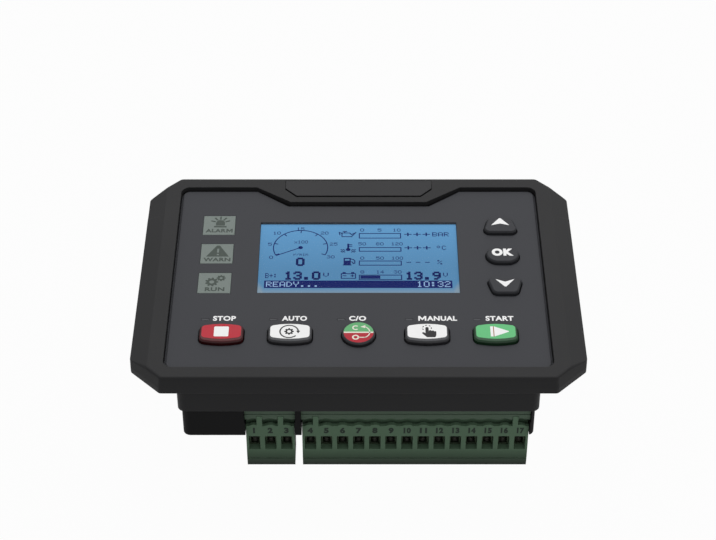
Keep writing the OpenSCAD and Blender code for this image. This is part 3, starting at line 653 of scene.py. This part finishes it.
def on_top(node, layer=0, x=0.0, y=0.0):
    """Place of a print on a solid's top: its layer, and its shift from the middle."""
    middle = spot(node)
    return Matrix.Translation((middle.x + x, middle.y + y, middle.z + layer * PRINT))


def on_display(layer):
    """Place of a print on the display's glass, measured from the middle of the window."""
    lens = spot("lcd_lens")
    return Matrix.Translation((lens.x, lens.y, spot("lcd_glass").z + layer * PRINT))


def node_tree(name, inputs):
    """Empty tree of geometry nodes, its named inputs and its end."""
    tree = bpy.data.node_groups.new(name, "GeometryNodeTree")
    for label, kind in [("Geometry", "Geometry"), *inputs]:
        tree.interface.new_socket(label, in_out="INPUT", socket_type="NodeSocket" + kind)
    tree.interface.new_socket("Geometry", in_out="OUTPUT", socket_type="NodeSocketGeometry")
    given = tree.nodes.new("NodeGroupInput").outputs
    return tree, given, tree.nodes.new("NodeGroupOutput").inputs["Geometry"]


def grow(tree, kind, settings=None, sockets=None):
    """First output of a new geometry node."""
    return add_node(tree, kind, settings, sockets).outputs[0]


def close_tree(tree, given, end, instances):
    """Ends a tree in real geometry with the material of its Ink input."""
    real = grow(tree, "GeometryNodeRealizeInstances", {}, {"Geometry": instances})
    inked = grow(tree, "GeometryNodeSetMaterial", {}, {"Geometry": real, "Material": given["Ink"]})
    tree.links.new(inked, end)
    return tree


def dot_tree():
    """One flat dot on each point, as wide and high as the point's own pitch."""
    inputs = [("Fill", "Float"), ("Thickness", "Float"), ("Ink", "Material")]
    tree, given, end = node_tree("Display dots", inputs)
    cube = grow(tree, "GeometryNodeMeshCube", {}, {"Size": (1, 1, 1)})
    pitch = grow(tree, "GeometryNodeInputNamedAttribute", {"data_type": "FLOAT_VECTOR"}, {"Name": "pitch"})
    sockets = {"X": given["Fill"], "Y": given["Fill"], "Z": given["Thickness"]}
    share = grow(tree, "ShaderNodeCombineXYZ", {}, sockets)
    size = grow(tree, "ShaderNodeVectorMath", {"operation": "MULTIPLY"}, {0: pitch, 1: share})
    sockets = {"Points": given["Geometry"], "Instance": cube, "Scale": size}
    return close_tree(tree, given, end, grow(tree, "GeometryNodeInstanceOnPoints", {}, sockets))


def tick_tree():
    """Even marks along an arc, each pointing to its middle."""
    inputs = [("Centre", "Vector"), ("Radius", "Float"), ("Start", "Float"), ("Sweep", "Float")]
    inputs += [("Ticks", "Int"), ("Length", "Float"), ("Width", "Float"), ("Thickness", "Float")]
    tree, given, end = node_tree("Scale ticks", [*inputs, ("Ink", "Material")])
    sockets = {"Radius": given["Radius"], "Start Angle": given["Start"], "Sweep Angle": given["Sweep"]}
    line = grow(tree, "GeometryNodeCurveArc", {"mode": "RADIUS"}, {"Resolution": 96, **sockets})
    sockets = {"Curve": line, "Count": given["Ticks"]}
    points = grow(tree, "GeometryNodeCurveToPoints", {"mode": "COUNT"}, sockets)
    sockets = {"X": given["Length"], "Y": given["Width"], "Z": given["Thickness"]}
    mark = grow(tree, "GeometryNodeMeshCube", {}, {"Size": grow(tree, "ShaderNodeCombineXYZ", {}, sockets)})
    settings = {"axis": "X", "pivot_axis": "Z"}
    sockets = {"Vector": grow(tree, "GeometryNodeInputPosition")}
    turn = grow(tree, "FunctionNodeAlignRotationToVector", settings, sockets)
    sockets = {"Points": points, "Instance": mark, "Rotation": turn}
    marks = grow(tree, "GeometryNodeInstanceOnPoints", {}, sockets)
    sockets = {"Geometry": marks, "Translation": given["Centre"]}
    return close_tree(tree, given, end, grow(tree, "GeometryNodeTransform", {}, sockets))


def grown(name, tree, values, start):
    """Plain mesh of a node tree, run once on a starting mesh."""
    host = new_object(name, start)
    modifier = host.modifiers.new(name, "NODES")
    modifier.node_group = tree
    for item in tree.interface.items_tree:
        if item.in_out == "INPUT" and item.name in values:
            modifier[item.identifier] = values[item.name]
    bpy.context.view_layer.update()
    mesh = plain_mesh(host)
    if not mesh.polygons:
        raise RuntimeError("the tree for " + name + " made no faces")
    return mesh


# Letters of the display, seven rows of five dots
GLYPHS = {
    "0": "01110 10001 10001 10001 10001 10001 01110",
    "1": "00100 01100 00100 00100 00100 00100 01110",
    "2": "01110 10001 00001 00110 01000 10000 11111",
    "3": "01110 10001 00001 00110 00001 10001 01110",
    "4": "00010 00110 01010 10010 11111 00010 00010",
    "5": "11111 10000 11110 00001 00001 10001 01110",
    "8": "01110 10001 10001 01110 10001 10001 01110",
    "9": "01110 10001 10001 01111 00001 00010 01100",
    ".": "00000 00000 00000 00000 00000 01100 01100",
    ":": "00000 01100 01100 00000 01100 01100 00000",
    "+": "00000 00100 00100 11111 00100 00100 00000",
    "-": "00000 00000 00000 01110 00000 00000 00000",
    "%": "11000 11001 00010 00100 01000 10011 00011",
    "/": "00000 00001 00010 00100 01000 10000 00000",
    "^": "01100 10010 10010 01100 00000 00000 00000",
    "A": "01110 10001 10001 10001 11111 10001 10001",
    "B": "11110 10001 10001 11110 10001 10001 11110",
    "C": "01110 10001 10000 10000 10000 10001 01110",
    "D": "11100 10010 10001 10001 10001 10010 11100",
    "E": "11111 10000 10000 11110 10000 10000 11111",
    "R": "11110 10001 10001 11110 10100 10010 10001",
    "V": "10001 10001 10001 10001 10001 01010 00100",
    "Y": "10001 10001 10001 01010 00100 00100 00100",
    "i": "00100 00000 01100 00100 00100 00100 01110",
    "m": "00000 00000 11010 10101 10101 10001 10001",
    "n": "00000 00000 10110 11001 10001 10001 10001",
    "r": "00000 00000 10110 11001 10000 10000 10000",
    "x": "00000 00000 10001 01010 00100 01010 10001",
}


class Dots:
    """Points of the display, each with its own pitch, measured from the display's middle."""

    def __init__(self):
        self.places = []
        self.pitches = []

    def read(self, text, left, low, right, high, bold=1.0):
        """Sets a text of five by seven dots a letter into a box."""
        across = (right - left) / (6 * len(text) - 1)
        down = (high - low) / 7
        for index, letter in enumerate(text):
            for row, dots in enumerate(GLYPHS[letter].split()):
                for column, dot in enumerate(dots):
                    if dot == "1":
                        x = left + (6 * index + column + 0.5) * across
                        self.places.append((x, high - (row + 0.5) * down))
                        self.pitches.append((across * bold, down * bold))

    def label(self, text, x, y):
        """Sets a small number about a point."""
        half_width, half_height = 0.62 * len(text), 0.75
        self.read(text, x - half_width, y - half_height, x + half_width, y + half_height)

    def piece(self, name, colour, layer, display):
        """Closes the points as one mesh of dots on the case."""
        finish = display_ink(name.replace("_", " ").capitalize() + " ink", colour, display)
        place = on_display(layer + 0.5)
        start = bpy.data.meshes.new(name)
        start.from_pydata([place @ Vector((x, y, 0)) * MM for x, y in self.places], [], [])
        pitch = start.attributes.new("pitch", "FLOAT_VECTOR", "POINT")
        for item, (across, down) in zip(pitch.data, self.pitches):
            item.vector = (across * MM, down * MM, 1)
        values = {"Fill": display.dot_fill, "Thickness": PRINT * MM, "Ink": finish}
        mesh = grown(name, dot_tree(), values, start)
        return mount(name, mesh, finish, "case")


def islands(node):
    """Lowest and highest corner of each separate solid of a node, in millimetres."""
    mesh = bmesh.new()
    mesh.from_mesh(frame["nodes"][node].data)
    bmesh.ops.remove_doubles(mesh, verts=mesh.verts, dist=0.001 * MM)
    left = set(mesh.verts)
    boxes = []
    while left:
        queue = [left.pop()]
        points = []
        while queue:
            vert = queue.pop()
            points.append(vert.co / MM)
            near = {edge.other_vert(vert) for edge in vert.link_edges} & left
            left -= near
            queue.extend(near)
        boxes.append([Vector([pick(values) for values in zip(*points)]) for pick in (min, max)])
    mesh.free()
    return sorted(boxes, key=lambda box: tuple(round(value, 2) for value in box[0]))


class DressSolids(bpy.types.Operator):
    """Give every solid of the controller the finish of its material slot"""

    bl_idname = "controller.dress_solids"
    bl_label = "Dress the solids"

    def execute(self, context):
        case = context.scene.case_looks
        finishes = slot_finishes(context.scene)
        own = {
            # Darker than the bezel as painted shade under the bezel
            "rear_cover": moulded("Rear cover plastic", case.cover, 0.6, case, 0.08),
            # The clamp screws are darkened as painted shade inside the wire entries
            "terminal_screws": brushed("Dull clamp screw in painted shade", tone(82, 82, 76), 0.6),
            "case_screws": brushed("Blackened screw", tone(74, 74, 74), 0.5),
        }
        # Menu keys: top and sides are copies of the face colour, the darker sides painted shade
        menu_rubber = key_rubber("Menu key", shaded(case.face, 0.86), shaded(case.face, 0.55), case, 0.1)
        own.update({name + "_key": menu_rubber for name in ("up", "ok", "down")})
        for part in frame["record"]["subparts"]:
            solid = frame["nodes"][part["node"]]
            if not solid.material_slots:
                solid.data.materials.append(None)
            for slot in solid.material_slots:
                slot.material = own.get(part["node"], finishes[part["material_slot"]])
        return {"FINISHED"}


class KeyWords(bpy.types.Operator):
    """Print the words above the lower row of keys"""

    bl_idname = "controller.key_words"
    bl_label = "Key words"

    def execute(self, context):
        key = context.scene.key_looks
        low, height, bold = key.word_rise / MM, key.word_height / MM, 0.04
        m_left, m_width, m_stroke = -2.55, 2.5, 0.5
        spans = {
            "stop": ("STOP", -3.0, 4.1), "auto": ("AUTO", -2.7, 5.1), "transfer": ("C/O", -2.95, 2.35),
            "manual": ("ANUAL", 0.15, 9.5), "start": ("START", -2.75, 5.95),
        }
        words = Print()
        for name, (text, left, right) in spans.items():
            middle = spot(name + "_key")
            words.place = Matrix.Translation((middle.x, middle.y, spot("face_panel").z))
            words.word(text, left, right, low, height, bold)
            if name == "manual":
                words.shape(capital_m(m_left, low, m_width, height, m_stroke))
        words.piece("key_words", key.white, "case", "white_plastic")
        return {"FINISHED"}


def sign_on_field(name, key, colour, slot, x=0.0):
    """Prints the coloured ground on a bar key's flat top, and starts the sign on it."""
    node = name + "_key"
    sizes = (key.bar_width, key.bar_height, key.bar_corner, key.bar_bow, key.field_inset)
    field = Print(on_top(node, 0, 0, key.field_rise / MM))
    field.shape(bowed_field(*[size / MM for size in sizes]))
    ground = print_ink(name.capitalize() + " field", colour, roughness=0.45)
    field.piece(name + "_field", ground, node, slot)
    return Print(on_top(node, 1, x, key.sign_rise / MM))


class StopSign(bpy.types.Operator):
    """Print the red field and the white square on the stop key"""

    bl_idname = "controller.stop_sign"
    bl_label = "Stop sign"

    def execute(self, context):
        key = context.scene.key_looks
        half, corner = key.square / MM / 2, 0.4
        sign = sign_on_field("stop", key, key.red, "red_key")
        sign.shape(rect(-half, -half, half, half, corner))
        sign.piece("stop_sign", key.white, "stop_key", "white_plastic")
        return {"FINISHED"}


class StartSign(bpy.types.Operator):
    """Print the green field, the bar and the triangle on the start key"""

    bl_idname = "controller.start_sign"
    bl_label = "Start sign"

    def execute(self, context):
        key = context.scene.key_looks
        sign = sign_on_field("start", key, key.green, "green_key")
        line = Print(sign.place)
        sign.shape(rect(-1.65, -2.3, -0.8, 2.3))
        sign.shape([(-0.5, -2.3), (4.0, -0.15), (4.0, 0.15), (-0.5, 2.3)])
        sign.piece("start_sign", key.white, "start_key", "white_plastic")
        line.shape(rect(-0.74, -2.3, -0.56, 2.3))
        line.piece("start_line", key.red, "start_key", "red_key")
        return {"FINISHED"}


class AutoSign(bpy.types.Operator):
    """Print the field, the turning arrow and the gear on the auto key"""

    bl_idname = "controller.auto_sign"
    bl_label = "Auto sign"

    def execute(self, context):
        key = context.scene.key_looks
        sign = sign_on_field("auto", key, key.white, "white_plastic", -0.25)
        sign.shape(band((0, 0), 2.8, 0.42, 4, 318))
        sign.shape([(2.2, 0.3), (3.4, 0.3), (2.8, -0.85)])
        sign.shape(*gear((0, 0), 1.5, 8, 0.62))
        sign.piece("auto_sign", key.ink, "auto_key", "chip_plastic")
        return {"FINISHED"}


class ManualSign(bpy.types.Operator):
    """Print the field and the tapping hand on the manual key"""

    bl_idname = "controller.manual_sign"
    bl_label = "Manual sign"

    def execute(self, context):
        key = context.scene.key_looks
        sign = sign_on_field("manual", key, key.white, "white_plastic", 0.25)
        scale = 1.12
        sign.place = sign.place @ Matrix.Diagonal((scale, scale, 1, 1))
        tip, ring, line, sweep = (-0.25, 1.35), 1.2, 0.26, 26
        knuckles = arc((0.62, 0.12), 0.4, 170, 20, 6) + arc((1.34, -0.02), 0.38, 160, 15, 6)
        knuckles += arc((1.95, -0.22), 0.33, 140, -10, 6)
        heel = [(2.25, -1.5), (1.95, -2.35), (-0.3, -2.35), (-0.8, -1.75)]
        thumb = [(-1.65, -0.7), (-1.5, -0.35), (-1.15, -0.3), (-0.7, -0.75)]
        sign.shape(arc(tip, 0.45, 180, 0, 8) + [(0.2, 0.2)] + knuckles + heel + thumb)
        for start in (-12, 38, 88, 138, 188):
            sign.shape(band(tip, ring, line, start, start + sweep, 6))
        sign.piece("manual_sign", key.ink, "manual_key", "chip_plastic")
        return {"FINISHED"}


class TransferSign(bpy.types.Operator):
    """Print the two halves, the letters and the changeover line on the transfer key"""

    bl_idname = "controller.transfer_sign"
    bl_label = "Transfer sign"

    def execute(self, context):
        key = context.scene.key_looks
        radius = 4.6
        halves = (("closed", 0, key.pale_green, "green_key"), ("open", 180, key.red, "red_key"))
        for name, start, colour, slot in halves:
            half = Print(on_top("transfer_key"))
            half.shape(arc((0, 0), radius, start, start + 180, 40))
            half.piece("transfer_" + name, shaded(colour, 0.9), "transfer_key", slot)
        sign = Print(on_top("transfer_key", 1))
        sign.shape(rect(-4.55, -0.28, 4.55, 0.28))
        sign.shape(band((-0.9, 2.1), 0.85, 0.42, 45, 315, 24))
        sign.shape(disc((-0.9, -2.25), 1.1), disc((-0.9, -2.25), 0.62))
        sign.shape(band((0.7, 0.1), 2.75, 0.34, -64, 62, 24))
        sign.shape([(0.55, 2.55), (2.1, 3.25), (2.0, 1.95)])
        sign.shape(rod((0.2, -2.3), (1.9, -2.3), 0.36))
        sign.piece("transfer_sign", key.cream, "transfer_key", "white_plastic")
        return {"FINISHED"}


class ArrowSigns(bpy.types.Operator):
    """Print the signs on the keys of the right column"""

    bl_idname = "controller.arrow_signs"
    bl_label = "Up, OK and down signs"

    def execute(self, context):
        up, ok, down = (Print(on_top(name + "_key")) for name in ("up", "ok", "down"))
        up.shape([(-3.0, -0.5), (0, 0.4), (3.0, -0.5), (0.25, 3.1), (-0.25, 3.1)])
        ok.word("OK", -3.5, 3.5, -0.95, 3.55, 0.07)
        down.shape([(-3.0, 2.6), (-0.25, -1.0), (0.25, -1.0), (3.0, 2.6), (0, 1.3)])
        for name, sign in (("up", up), ("ok", ok), ("down", down)):
            sign.piece(name + "_sign", context.scene.key_looks.white, name + "_key", "white_plastic")
        return {"FINISHED"}


class WindowSigns(bpy.types.Operator):
    """Print the signs and the words of the indicator windows"""

    bl_idname = "controller.window_signs"
    bl_label = "Window signs"

    def execute(self, context):
        alarm, warn, run = (Print(on_top(name + "_window")) for name in ("alarm", "warn", "run"))
        bold = 0.035
        lamp = (0.35, 1.3)
        alarm.shape(rect(-1.7, -1.0, 2.4, -0.3))
        alarm.shape(arc(lamp, 1.45, 180, 0, 20) + [(1.8, 0.0), (-1.1, 0.0)])
        for turn in (20, 55, 90, 125, 160):
            ray = [arc(lamp, radius, turn, turn, 1)[0] for radius in (2.0, 3.0)]
            alarm.shape(rod(*ray, 0.55))
        alarm.word("ALAR", -4.3, 2.3, -3.6, 1.75, bold)
        alarm.shape(capital_m(2.45, -3.6, 2.05, 1.75, 0.42))
        mark = [rect(0.0, 0.5, 0.62, 2.6, 0.2), disc((0.31, -0.45), 0.38, 16)]
        warn.shape([(-3.4, -1.4), (3.9, -1.4), (0.75, 4.1), (-0.15, 4.1)], *mark)
        warn.word("WARN", -4.2, 4.5, -3.8, 1.75, bold)
        run.shape(*gear((-0.9, 0.5), 2.1, 9, 0.8))
        run.shape(*gear((2.0, 2.4), 1.45, 8, 0.5))
        run.word("RUN", -2.9, 3.3, -3.9, 1.8, bold)
        for name, sign in (("alarm", alarm), ("warn", warn), ("run", run)):
            sign.piece(name + "_sign", context.scene.case_looks.window_sign, "case", "window_plastic")
        return {"FINISHED"}


class DisplayGround(bpy.types.Operator):
    """Lay the lit ground of the display behind its lens"""

    bl_idname = "controller.display_ground"
    bl_label = "Display ground"

    def execute(self, context):
        low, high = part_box("lcd_lens")
        half = (high - low) / MM / 2
        lit = lit_cell("Lit ground", context.scene.display_looks)
        ground = Print(on_display(0))
        ground.shape(rect(-half.x, -half.y, half.x, half.y))
        ground.piece("display_ground", lit, "case", "display_cell")
        return {"FINISHED"}


class DisplayReadings(bpy.types.Operator):
    """Set the dotted readings of the display"""

    bl_idname = "controller.display_readings"
    bl_label = "Display readings"

    def execute(self, context):
        display = context.scene.display_looks
        dots = Dots()
        speeds = [(-28.2, 0.7), (-28.8, 7.3), (-26.7, 13.05), (-19, 15.2)]
        speeds += [(-11.1, 13.05), (-8.1, 7.4), (-9.0, 0.9)]
        for step, (x, y) in enumerate(speeds):
            dots.label(str(5 * step), x, y)
        bold = 1.7
        readings = [("x100", -20.9, 7.7, -16.5, 9.2), ("r/min", -21.0, 1.4, -16.3, 2.9)]
        readings += [("0", -20.0, -3.5, -17.5, 0.35, bold), ("B+:", -29.8, -9.6, -26.0, -7.2)]
        readings += [("13.0", -23.65, -10.3, -12.3, -6.5, bold), ("V", -11.3, -9.0, -9.5, -7.0)]
        readings += [("13.9", 15.0, -10.3, 26.15, -6.6, bold), ("V", 27.0, -9.0, 28.5, -7.0)]
        for reading in readings:
            dots.read(*reading)
        units = [(12.4, "+++", "BAR", 24.1, 29.5), (5.5, "+++", "^C", 25.4, 28.4)]
        units += [(-1.8, "---", "%", 25.4, 26.9)]
        for y, text, unit, left, right in units:
            dots.read(text, 14.9, y - 1.2, 23.4, y + 1.2)
            dots.read(unit, left, y - 1.05, right, y + 1.05)
        for y, texts in ((14.6, "0 5 10"), (7.5, "50 80 120"), (0.3, "0 50 100"), (-6.6, "8 14 30")):
            for x, text in zip((1.2, 6.9, 12.5), texts.split()):
                dots.label(text, x, y)
        dots.piece("display_readings", display.ink, 1, display)
        status = Dots()
        status.read("READY...", -29.4, -13.9, -12.5, -11.4)
        status.read("10:32", 18.5, -14.0, 29.2, -11.2)
        status.piece("status_readings", display.pale, 2, display)
        return {"FINISHED"}


class DisplayLines(bpy.types.Operator):
    """Draw the gauge, the bars, the symbols and the status bar of the display"""

    bl_idname = "controller.display_lines"
    bl_label = "Display lines"

    def execute(self, context):
        display = context.scene.display_looks
        ink = display_ink("Line ink", display.ink, display)
        sizes = (display.line, display.gauge_radius, display.tick_length)
        line, radius, length = (size / MM for size in sizes)
        hub, hub_radius, needle_tip = (-18.8, 5.6), 0.75, (-26.6, 1.6)
        first, last = 204.6, -24.6
        bar_left, bar_right = 0.1, 13.9
        drawn = Print(on_display(1))
        drawn.shape(band(hub, radius, line, first, last, 64))
        drawn.shape(rod(hub, needle_tip, line))
        drawn.shape(disc(hub, hub_radius, 24))
        for low, high in ((10.3, 13.0), (3.6, 5.8), (-3.4, -1.0), (-10.5, -8.0)):
            drawn.shape(*open_box(bar_left, low, bar_right, high, line))
        drawn.shape(rect(0.6, -9.95, 6.95, -8.45))
        drawn.shape(rect(-30.0, -14.45, 29.8, -10.85))
        self.symbols(drawn, line)
        drawn.piece("display_lines", ink, "case", "display_cell")
        values = {
            "Centre": on_display(1.5) @ Vector((*hub, 0)) * MM, "Radius": (radius - length / 2) * MM,
            "Start": math.radians(last), "Sweep": math.radians(first - last), "Ticks": display.gauge_ticks,
            "Length": length * MM, "Width": line * MM, "Thickness": PRINT * MM, "Ink": ink,
        }
        mesh = grown("gauge_ticks", tick_tree(), values, bpy.data.meshes.new("gauge_ticks"))
        mount("gauge_ticks", mesh, ink, "case")
        return {"FINISHED"}

    def symbols(self, drawn, line):
        """Oil can, thermometer, fuel pump and battery."""
        can = [(-5.4, 13.1), (-2.9, 13.1), (-2.3, 12.3), (-0.9, 13.3), (-2.3, 11.2), (-5.4, 11.2)]
        handle = [(-5.4, 12.9), (-6.3, 13.4), (-6.1, 12.2)]
        cap = [[(-4.5, 13.1), (-4.5, 13.9)], [(-5.0, 13.9), (-3.9, 13.9)]]
        degrees = [[(-3.0, 7.1), (-2.2, 7.1)], [(-3.0, 6.3), (-2.2, 6.3)]]
        hose = [(-2.5, -0.1), (-1.6, -0.5), (-1.2, -1.1), (-1.2, -2.3)]
        hose += [(-1.7, -2.5), (-1.9, -1.7), (-2.5, -1.6)]
        minus = [(-4.9, -8.5), (-4.0, -8.5)]
        plus = [[(-2.4, -8.5), (-1.5, -8.5)], [(-1.95, -8.05), (-1.95, -8.95)]]
        paths = [[*can, can[0]], handle, *cap, *degrees, hose, minus, *plus]
        for side in (-1, 1):
            for y in (3.5, 4.4):
                xs = [-3.35 + side * reach for reach in (1.1, 1.5, 1.9, 2.3)]
                paths.append([(x, y + (0.18 if step % 2 else -0.18)) for step, x in enumerate(xs)])
        for path in paths:
            for start, end in zip(path, path[1:]):
                drawn.shape(rod(start, end, line))
        drawn.shape(rect(-3.65, 4.6, -3.05, 7.6, 0.2))
        drawn.shape(disc((-3.35, 4.6), 0.75, 20))
        drawn.shape(rect(-4.8, -3.0, -2.5, 0.4, 0.15), rect(-4.4, -1.0, -2.9, -0.1))
        drawn.shape(rect(-5.05, -3.35, -2.25, -2.95))
        drawn.shape(*open_box(-5.65, -9.9, -0.8, -7.3, line))
        for left in (-5.1, -2.35):
            drawn.shape(rect(left, -7.35, left + 1, -6.7))


class PoleNumbers(bpy.types.Operator):
    """Number the poles of the lower row of plugs"""

    bl_idname = "controller.pole_numbers"
    bl_label = "Pole numbers"

    def execute(self, context):
        terminal = context.scene.terminal_looks
        height = terminal.number_height / MM
        half = terminal.number_width / MM / 2
        pitch = terminal.pitch / MM
        bold = 0.06
        upright = Matrix.Rotation(math.pi / 2, 4, "X")
        numbers = Print()
        number = 0
        for name in ("power", "control"):
            low, high = (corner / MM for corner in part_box(name + "_plug"))
            z = (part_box(name + "_header")[0].z - terminal.number_drop) / MM
            for pole in range(round((high.x - low.x) / pitch)):
                number += 1
                numbers.place = Matrix.Translation((low.x + (pole + 0.5) * pitch, low.y, z)) @ upright
                span = (-half, half) if number > 9 else (0, None)
                numbers.word(str(number), *span, -height / 2, height, bold)
        numbers.piece("pole_numbers", terminal.number, "case", "chip_plastic")
        return {"FINISHED"}


class ScrewSlots(bpy.types.Operator):
    """Paint dark crosses on the case screws and dark slots on the clamp screws, as painted shade in place
    of recesses
    """

    bl_idname = "controller.screw_slots"
    bl_label = "Screw slots"

    def execute(self, context):
        # Dark ink that paints the shade of recesses which the screws' solids don't have
        ink = print_ink("Screw recess painted shade", tone(16, 16, 16))
        cross_share, width = 0.3, 0.36
        slot_share, slot_width = 0.36, 0.5
        crosses = Print()
        for low, high in islands("case_screws"):
            middle = (low + high) / 2
            side = 1 if middle.x > 0 else -1
            turn = Matrix.Rotation(side * math.pi / 2, 4, "Y")
            crosses.place = Matrix.Translation((high.x if side > 0 else low.x, middle.y, middle.z)) @ turn
            reach = cross_share * (high.y - low.y)
            crosses.shape(rod((-reach, 0), (reach, 0), width))
            crosses.shape(rod((0, width / 2), (0, reach), width))
            crosses.shape(rod((0, -reach), (0, -width / 2), width))
        crosses.piece("case_screw_crosses", ink, "case", "chip_plastic")
        slots = Print()
        for low, high in islands("terminal_screws"):
            middle = (low + high) / 2
            slots.place = Matrix.Translation((middle.x, middle.y, low.z)) @ Matrix.Rotation(math.pi, 4, "X")
            reach = slot_share * (high.y - low.y)
            slots.shape(rod((-reach, 0), (reach, 0), slot_width))
        slots.piece("terminal_screw_slots", ink, "case", "chip_plastic")
        return {"FINISHED"}


class Studio(bpy.types.Operator):
    """Set the floor, the soft light and the camera"""

    bl_idname = "controller.studio"
    bl_label = "Studio"

    def execute(self, context):
        stage = context.scene.stage_looks
        self.floor(stage)
        self.sky(stage)
        self.lamp("softbox", stage.softbox, place=(0.12, 0.5, 0.78), size=(1.1, 0.8))
        self.lamp("front_fill", stage.fill, place=(0.35, -0.75, 0.55), size=(0.7, 0.7))
        self.camera(stage)
        context.scene.view_settings.view_transform = "Standard"
        return {"FINISHED"}

    def seen(self, finish):
        """One for rays from the camera and for mirrored or refracted ones."""
        names = ("Is Camera Ray", "Is Glossy Ray", "Is Transmission Ray")
        rays = [finish.add("ShaderNodeLightPath", output=name) for name in names]
        return finish.clamp(rays[0] + rays[1] + rays[2])

    def floor(self, stage):
        """Pale floor that is seen as white, apart from the dark place beneath the rear cover."""
        reach, height = 2.0, CAD_BOX[0][2]
        mesh = bpy.data.meshes.new("floor")
        corners = [(x * reach, y * reach, height) for x, y in ((-1, -1), (1, -1), (1, 1), (-1, 1))]
        mesh.from_pydata(corners, [], [(0, 1, 2, 3)])
        finish = Finish("Pale floor")
        shade = finish.mottle(finish.noise(3.0), stage.floor, 1.0, 1.04)
        lit = finish.add("ShaderNodeBsdfDiffuse", {}, {"Color": shade})
        plain = finish.add("ShaderNodeEmission", {}, {"Color": WHITE, "Strength": 1.0})
        low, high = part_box("rear_cover")
        fade = 4 * MM
        aside = finish.math("ABSOLUTE", finish.axis("X"))
        under = finish.clamp((high.x - aside) / fade) * finish.clamp((finish.axis("Y") - low.y / 2) / MM)
        under = under * finish.clamp((high.y - finish.axis("Y")) / fade)
        share = self.seen(finish) * stage.floor_white * (1 - under)
        shader = finish.add("ShaderNodeMixShader", {}, {0: share, 1: lit, 2: plain})
        mesh.materials.append(finish.close(shader))
        floor = new_object("floor", mesh)

    def sky(self, stage):
        world = bpy.data.worlds.new("Studio")
        bpy.context.scene.world = world
        finish = Finish("Studio", world)
        strength = stage.ambient + self.seen(finish) * (1 - stage.ambient)
        light = finish.add("ShaderNodeBackground", {}, {"Color": WHITE, "Strength": strength})
        finish.close(light, "ShaderNodeOutputWorld")

    def lamp(self, name, power, place, size):
        light = bpy.data.lights.new(name, "AREA")
        light.shape = "RECTANGLE"
        light.size, light.size_y = size
        light.energy = power
        lamp = new_object(name, light)
        lamp.location = place
        lamp.rotation_euler = Vector(place).to_track_quat("Z", "Y").to_euler()

    def camera(self, stage):
        lens = bpy.data.cameras.new("camera")
        lens.sensor_fit = "HORIZONTAL"
        lens.sensor_width = 36
        lens.lens = stage.lens
        camera = new_object("camera", lens)
        sine, cosine = math.sin(stage.elevation), math.cos(stage.elevation)
        up = Vector((0, sine, cosine))
        back = Vector((0, -cosine, sine))
        camera.location = up * stage.rise + back * stage.distance - Vector((stage.aside, 0, 0))
        camera.rotation_euler = back.to_track_quat("Z", "Y").to_euler()
        bpy.context.scene.camera = camera


OPERATORS = (
    DressSolids, KeyWords, StopSign, AutoSign, TransferSign, ManualSign, StartSign, ArrowSigns, WindowSigns,
    DisplayGround, DisplayReadings, DisplayLines, PoleNumbers, ScrewSlots, Studio,
)
GROUPS = {
    "case_looks": CaseLooks, "key_looks": KeyLooks, "display_looks": DisplayLooks,
    "terminal_looks": TerminalLooks, "stage_looks": StageLooks,
}


class ControllerPanel(bpy.types.Panel):
    """Settings and steps of the controller's looks"""

    bl_idname = "VIEW3D_PT_controller"
    bl_label = "Genset controller"
    bl_space_type = "VIEW_3D"
    bl_region_type = "UI"
    bl_category = "Controller"

    def draw(self, context):
        for name, group in GROUPS.items():
            box = self.layout.box()
            for value in group.__annotations__:
                box.prop(getattr(context.scene, name), value)
        for operator in OPERATORS:
            self.layout.operator(operator.bl_idname)


def register():
    for name, group in GROUPS.items():
        bpy.utils.register_class(group)
        setattr(bpy.types.Scene, name, PointerProperty(type=group))
    for part in (*OPERATORS, ControllerPanel):
        bpy.utils.register_class(part)


def unregister():
    for part in (ControllerPanel, *reversed(OPERATORS)):
        bpy.utils.unregister_class(part)
    for name, group in GROUPS.items():
        delattr(bpy.types.Scene, name)
        bpy.utils.unregister_class(group)


def main():
    register()
    bpy.ops.controller.dress_solids()
    bpy.ops.controller.key_words()
    bpy.ops.controller.stop_sign()
    bpy.ops.controller.auto_sign()
    bpy.ops.controller.transfer_sign()
    bpy.ops.controller.manual_sign()
    bpy.ops.controller.start_sign()
    bpy.ops.controller.arrow_signs()
    bpy.ops.controller.window_signs()
    bpy.ops.controller.display_ground()
    bpy.ops.controller.display_readings()
    bpy.ops.controller.display_lines()
    bpy.ops.controller.pole_numbers()
    bpy.ops.controller.screw_slots()
    bpy.ops.controller.studio()


if __name__ == "__main__":
    main()
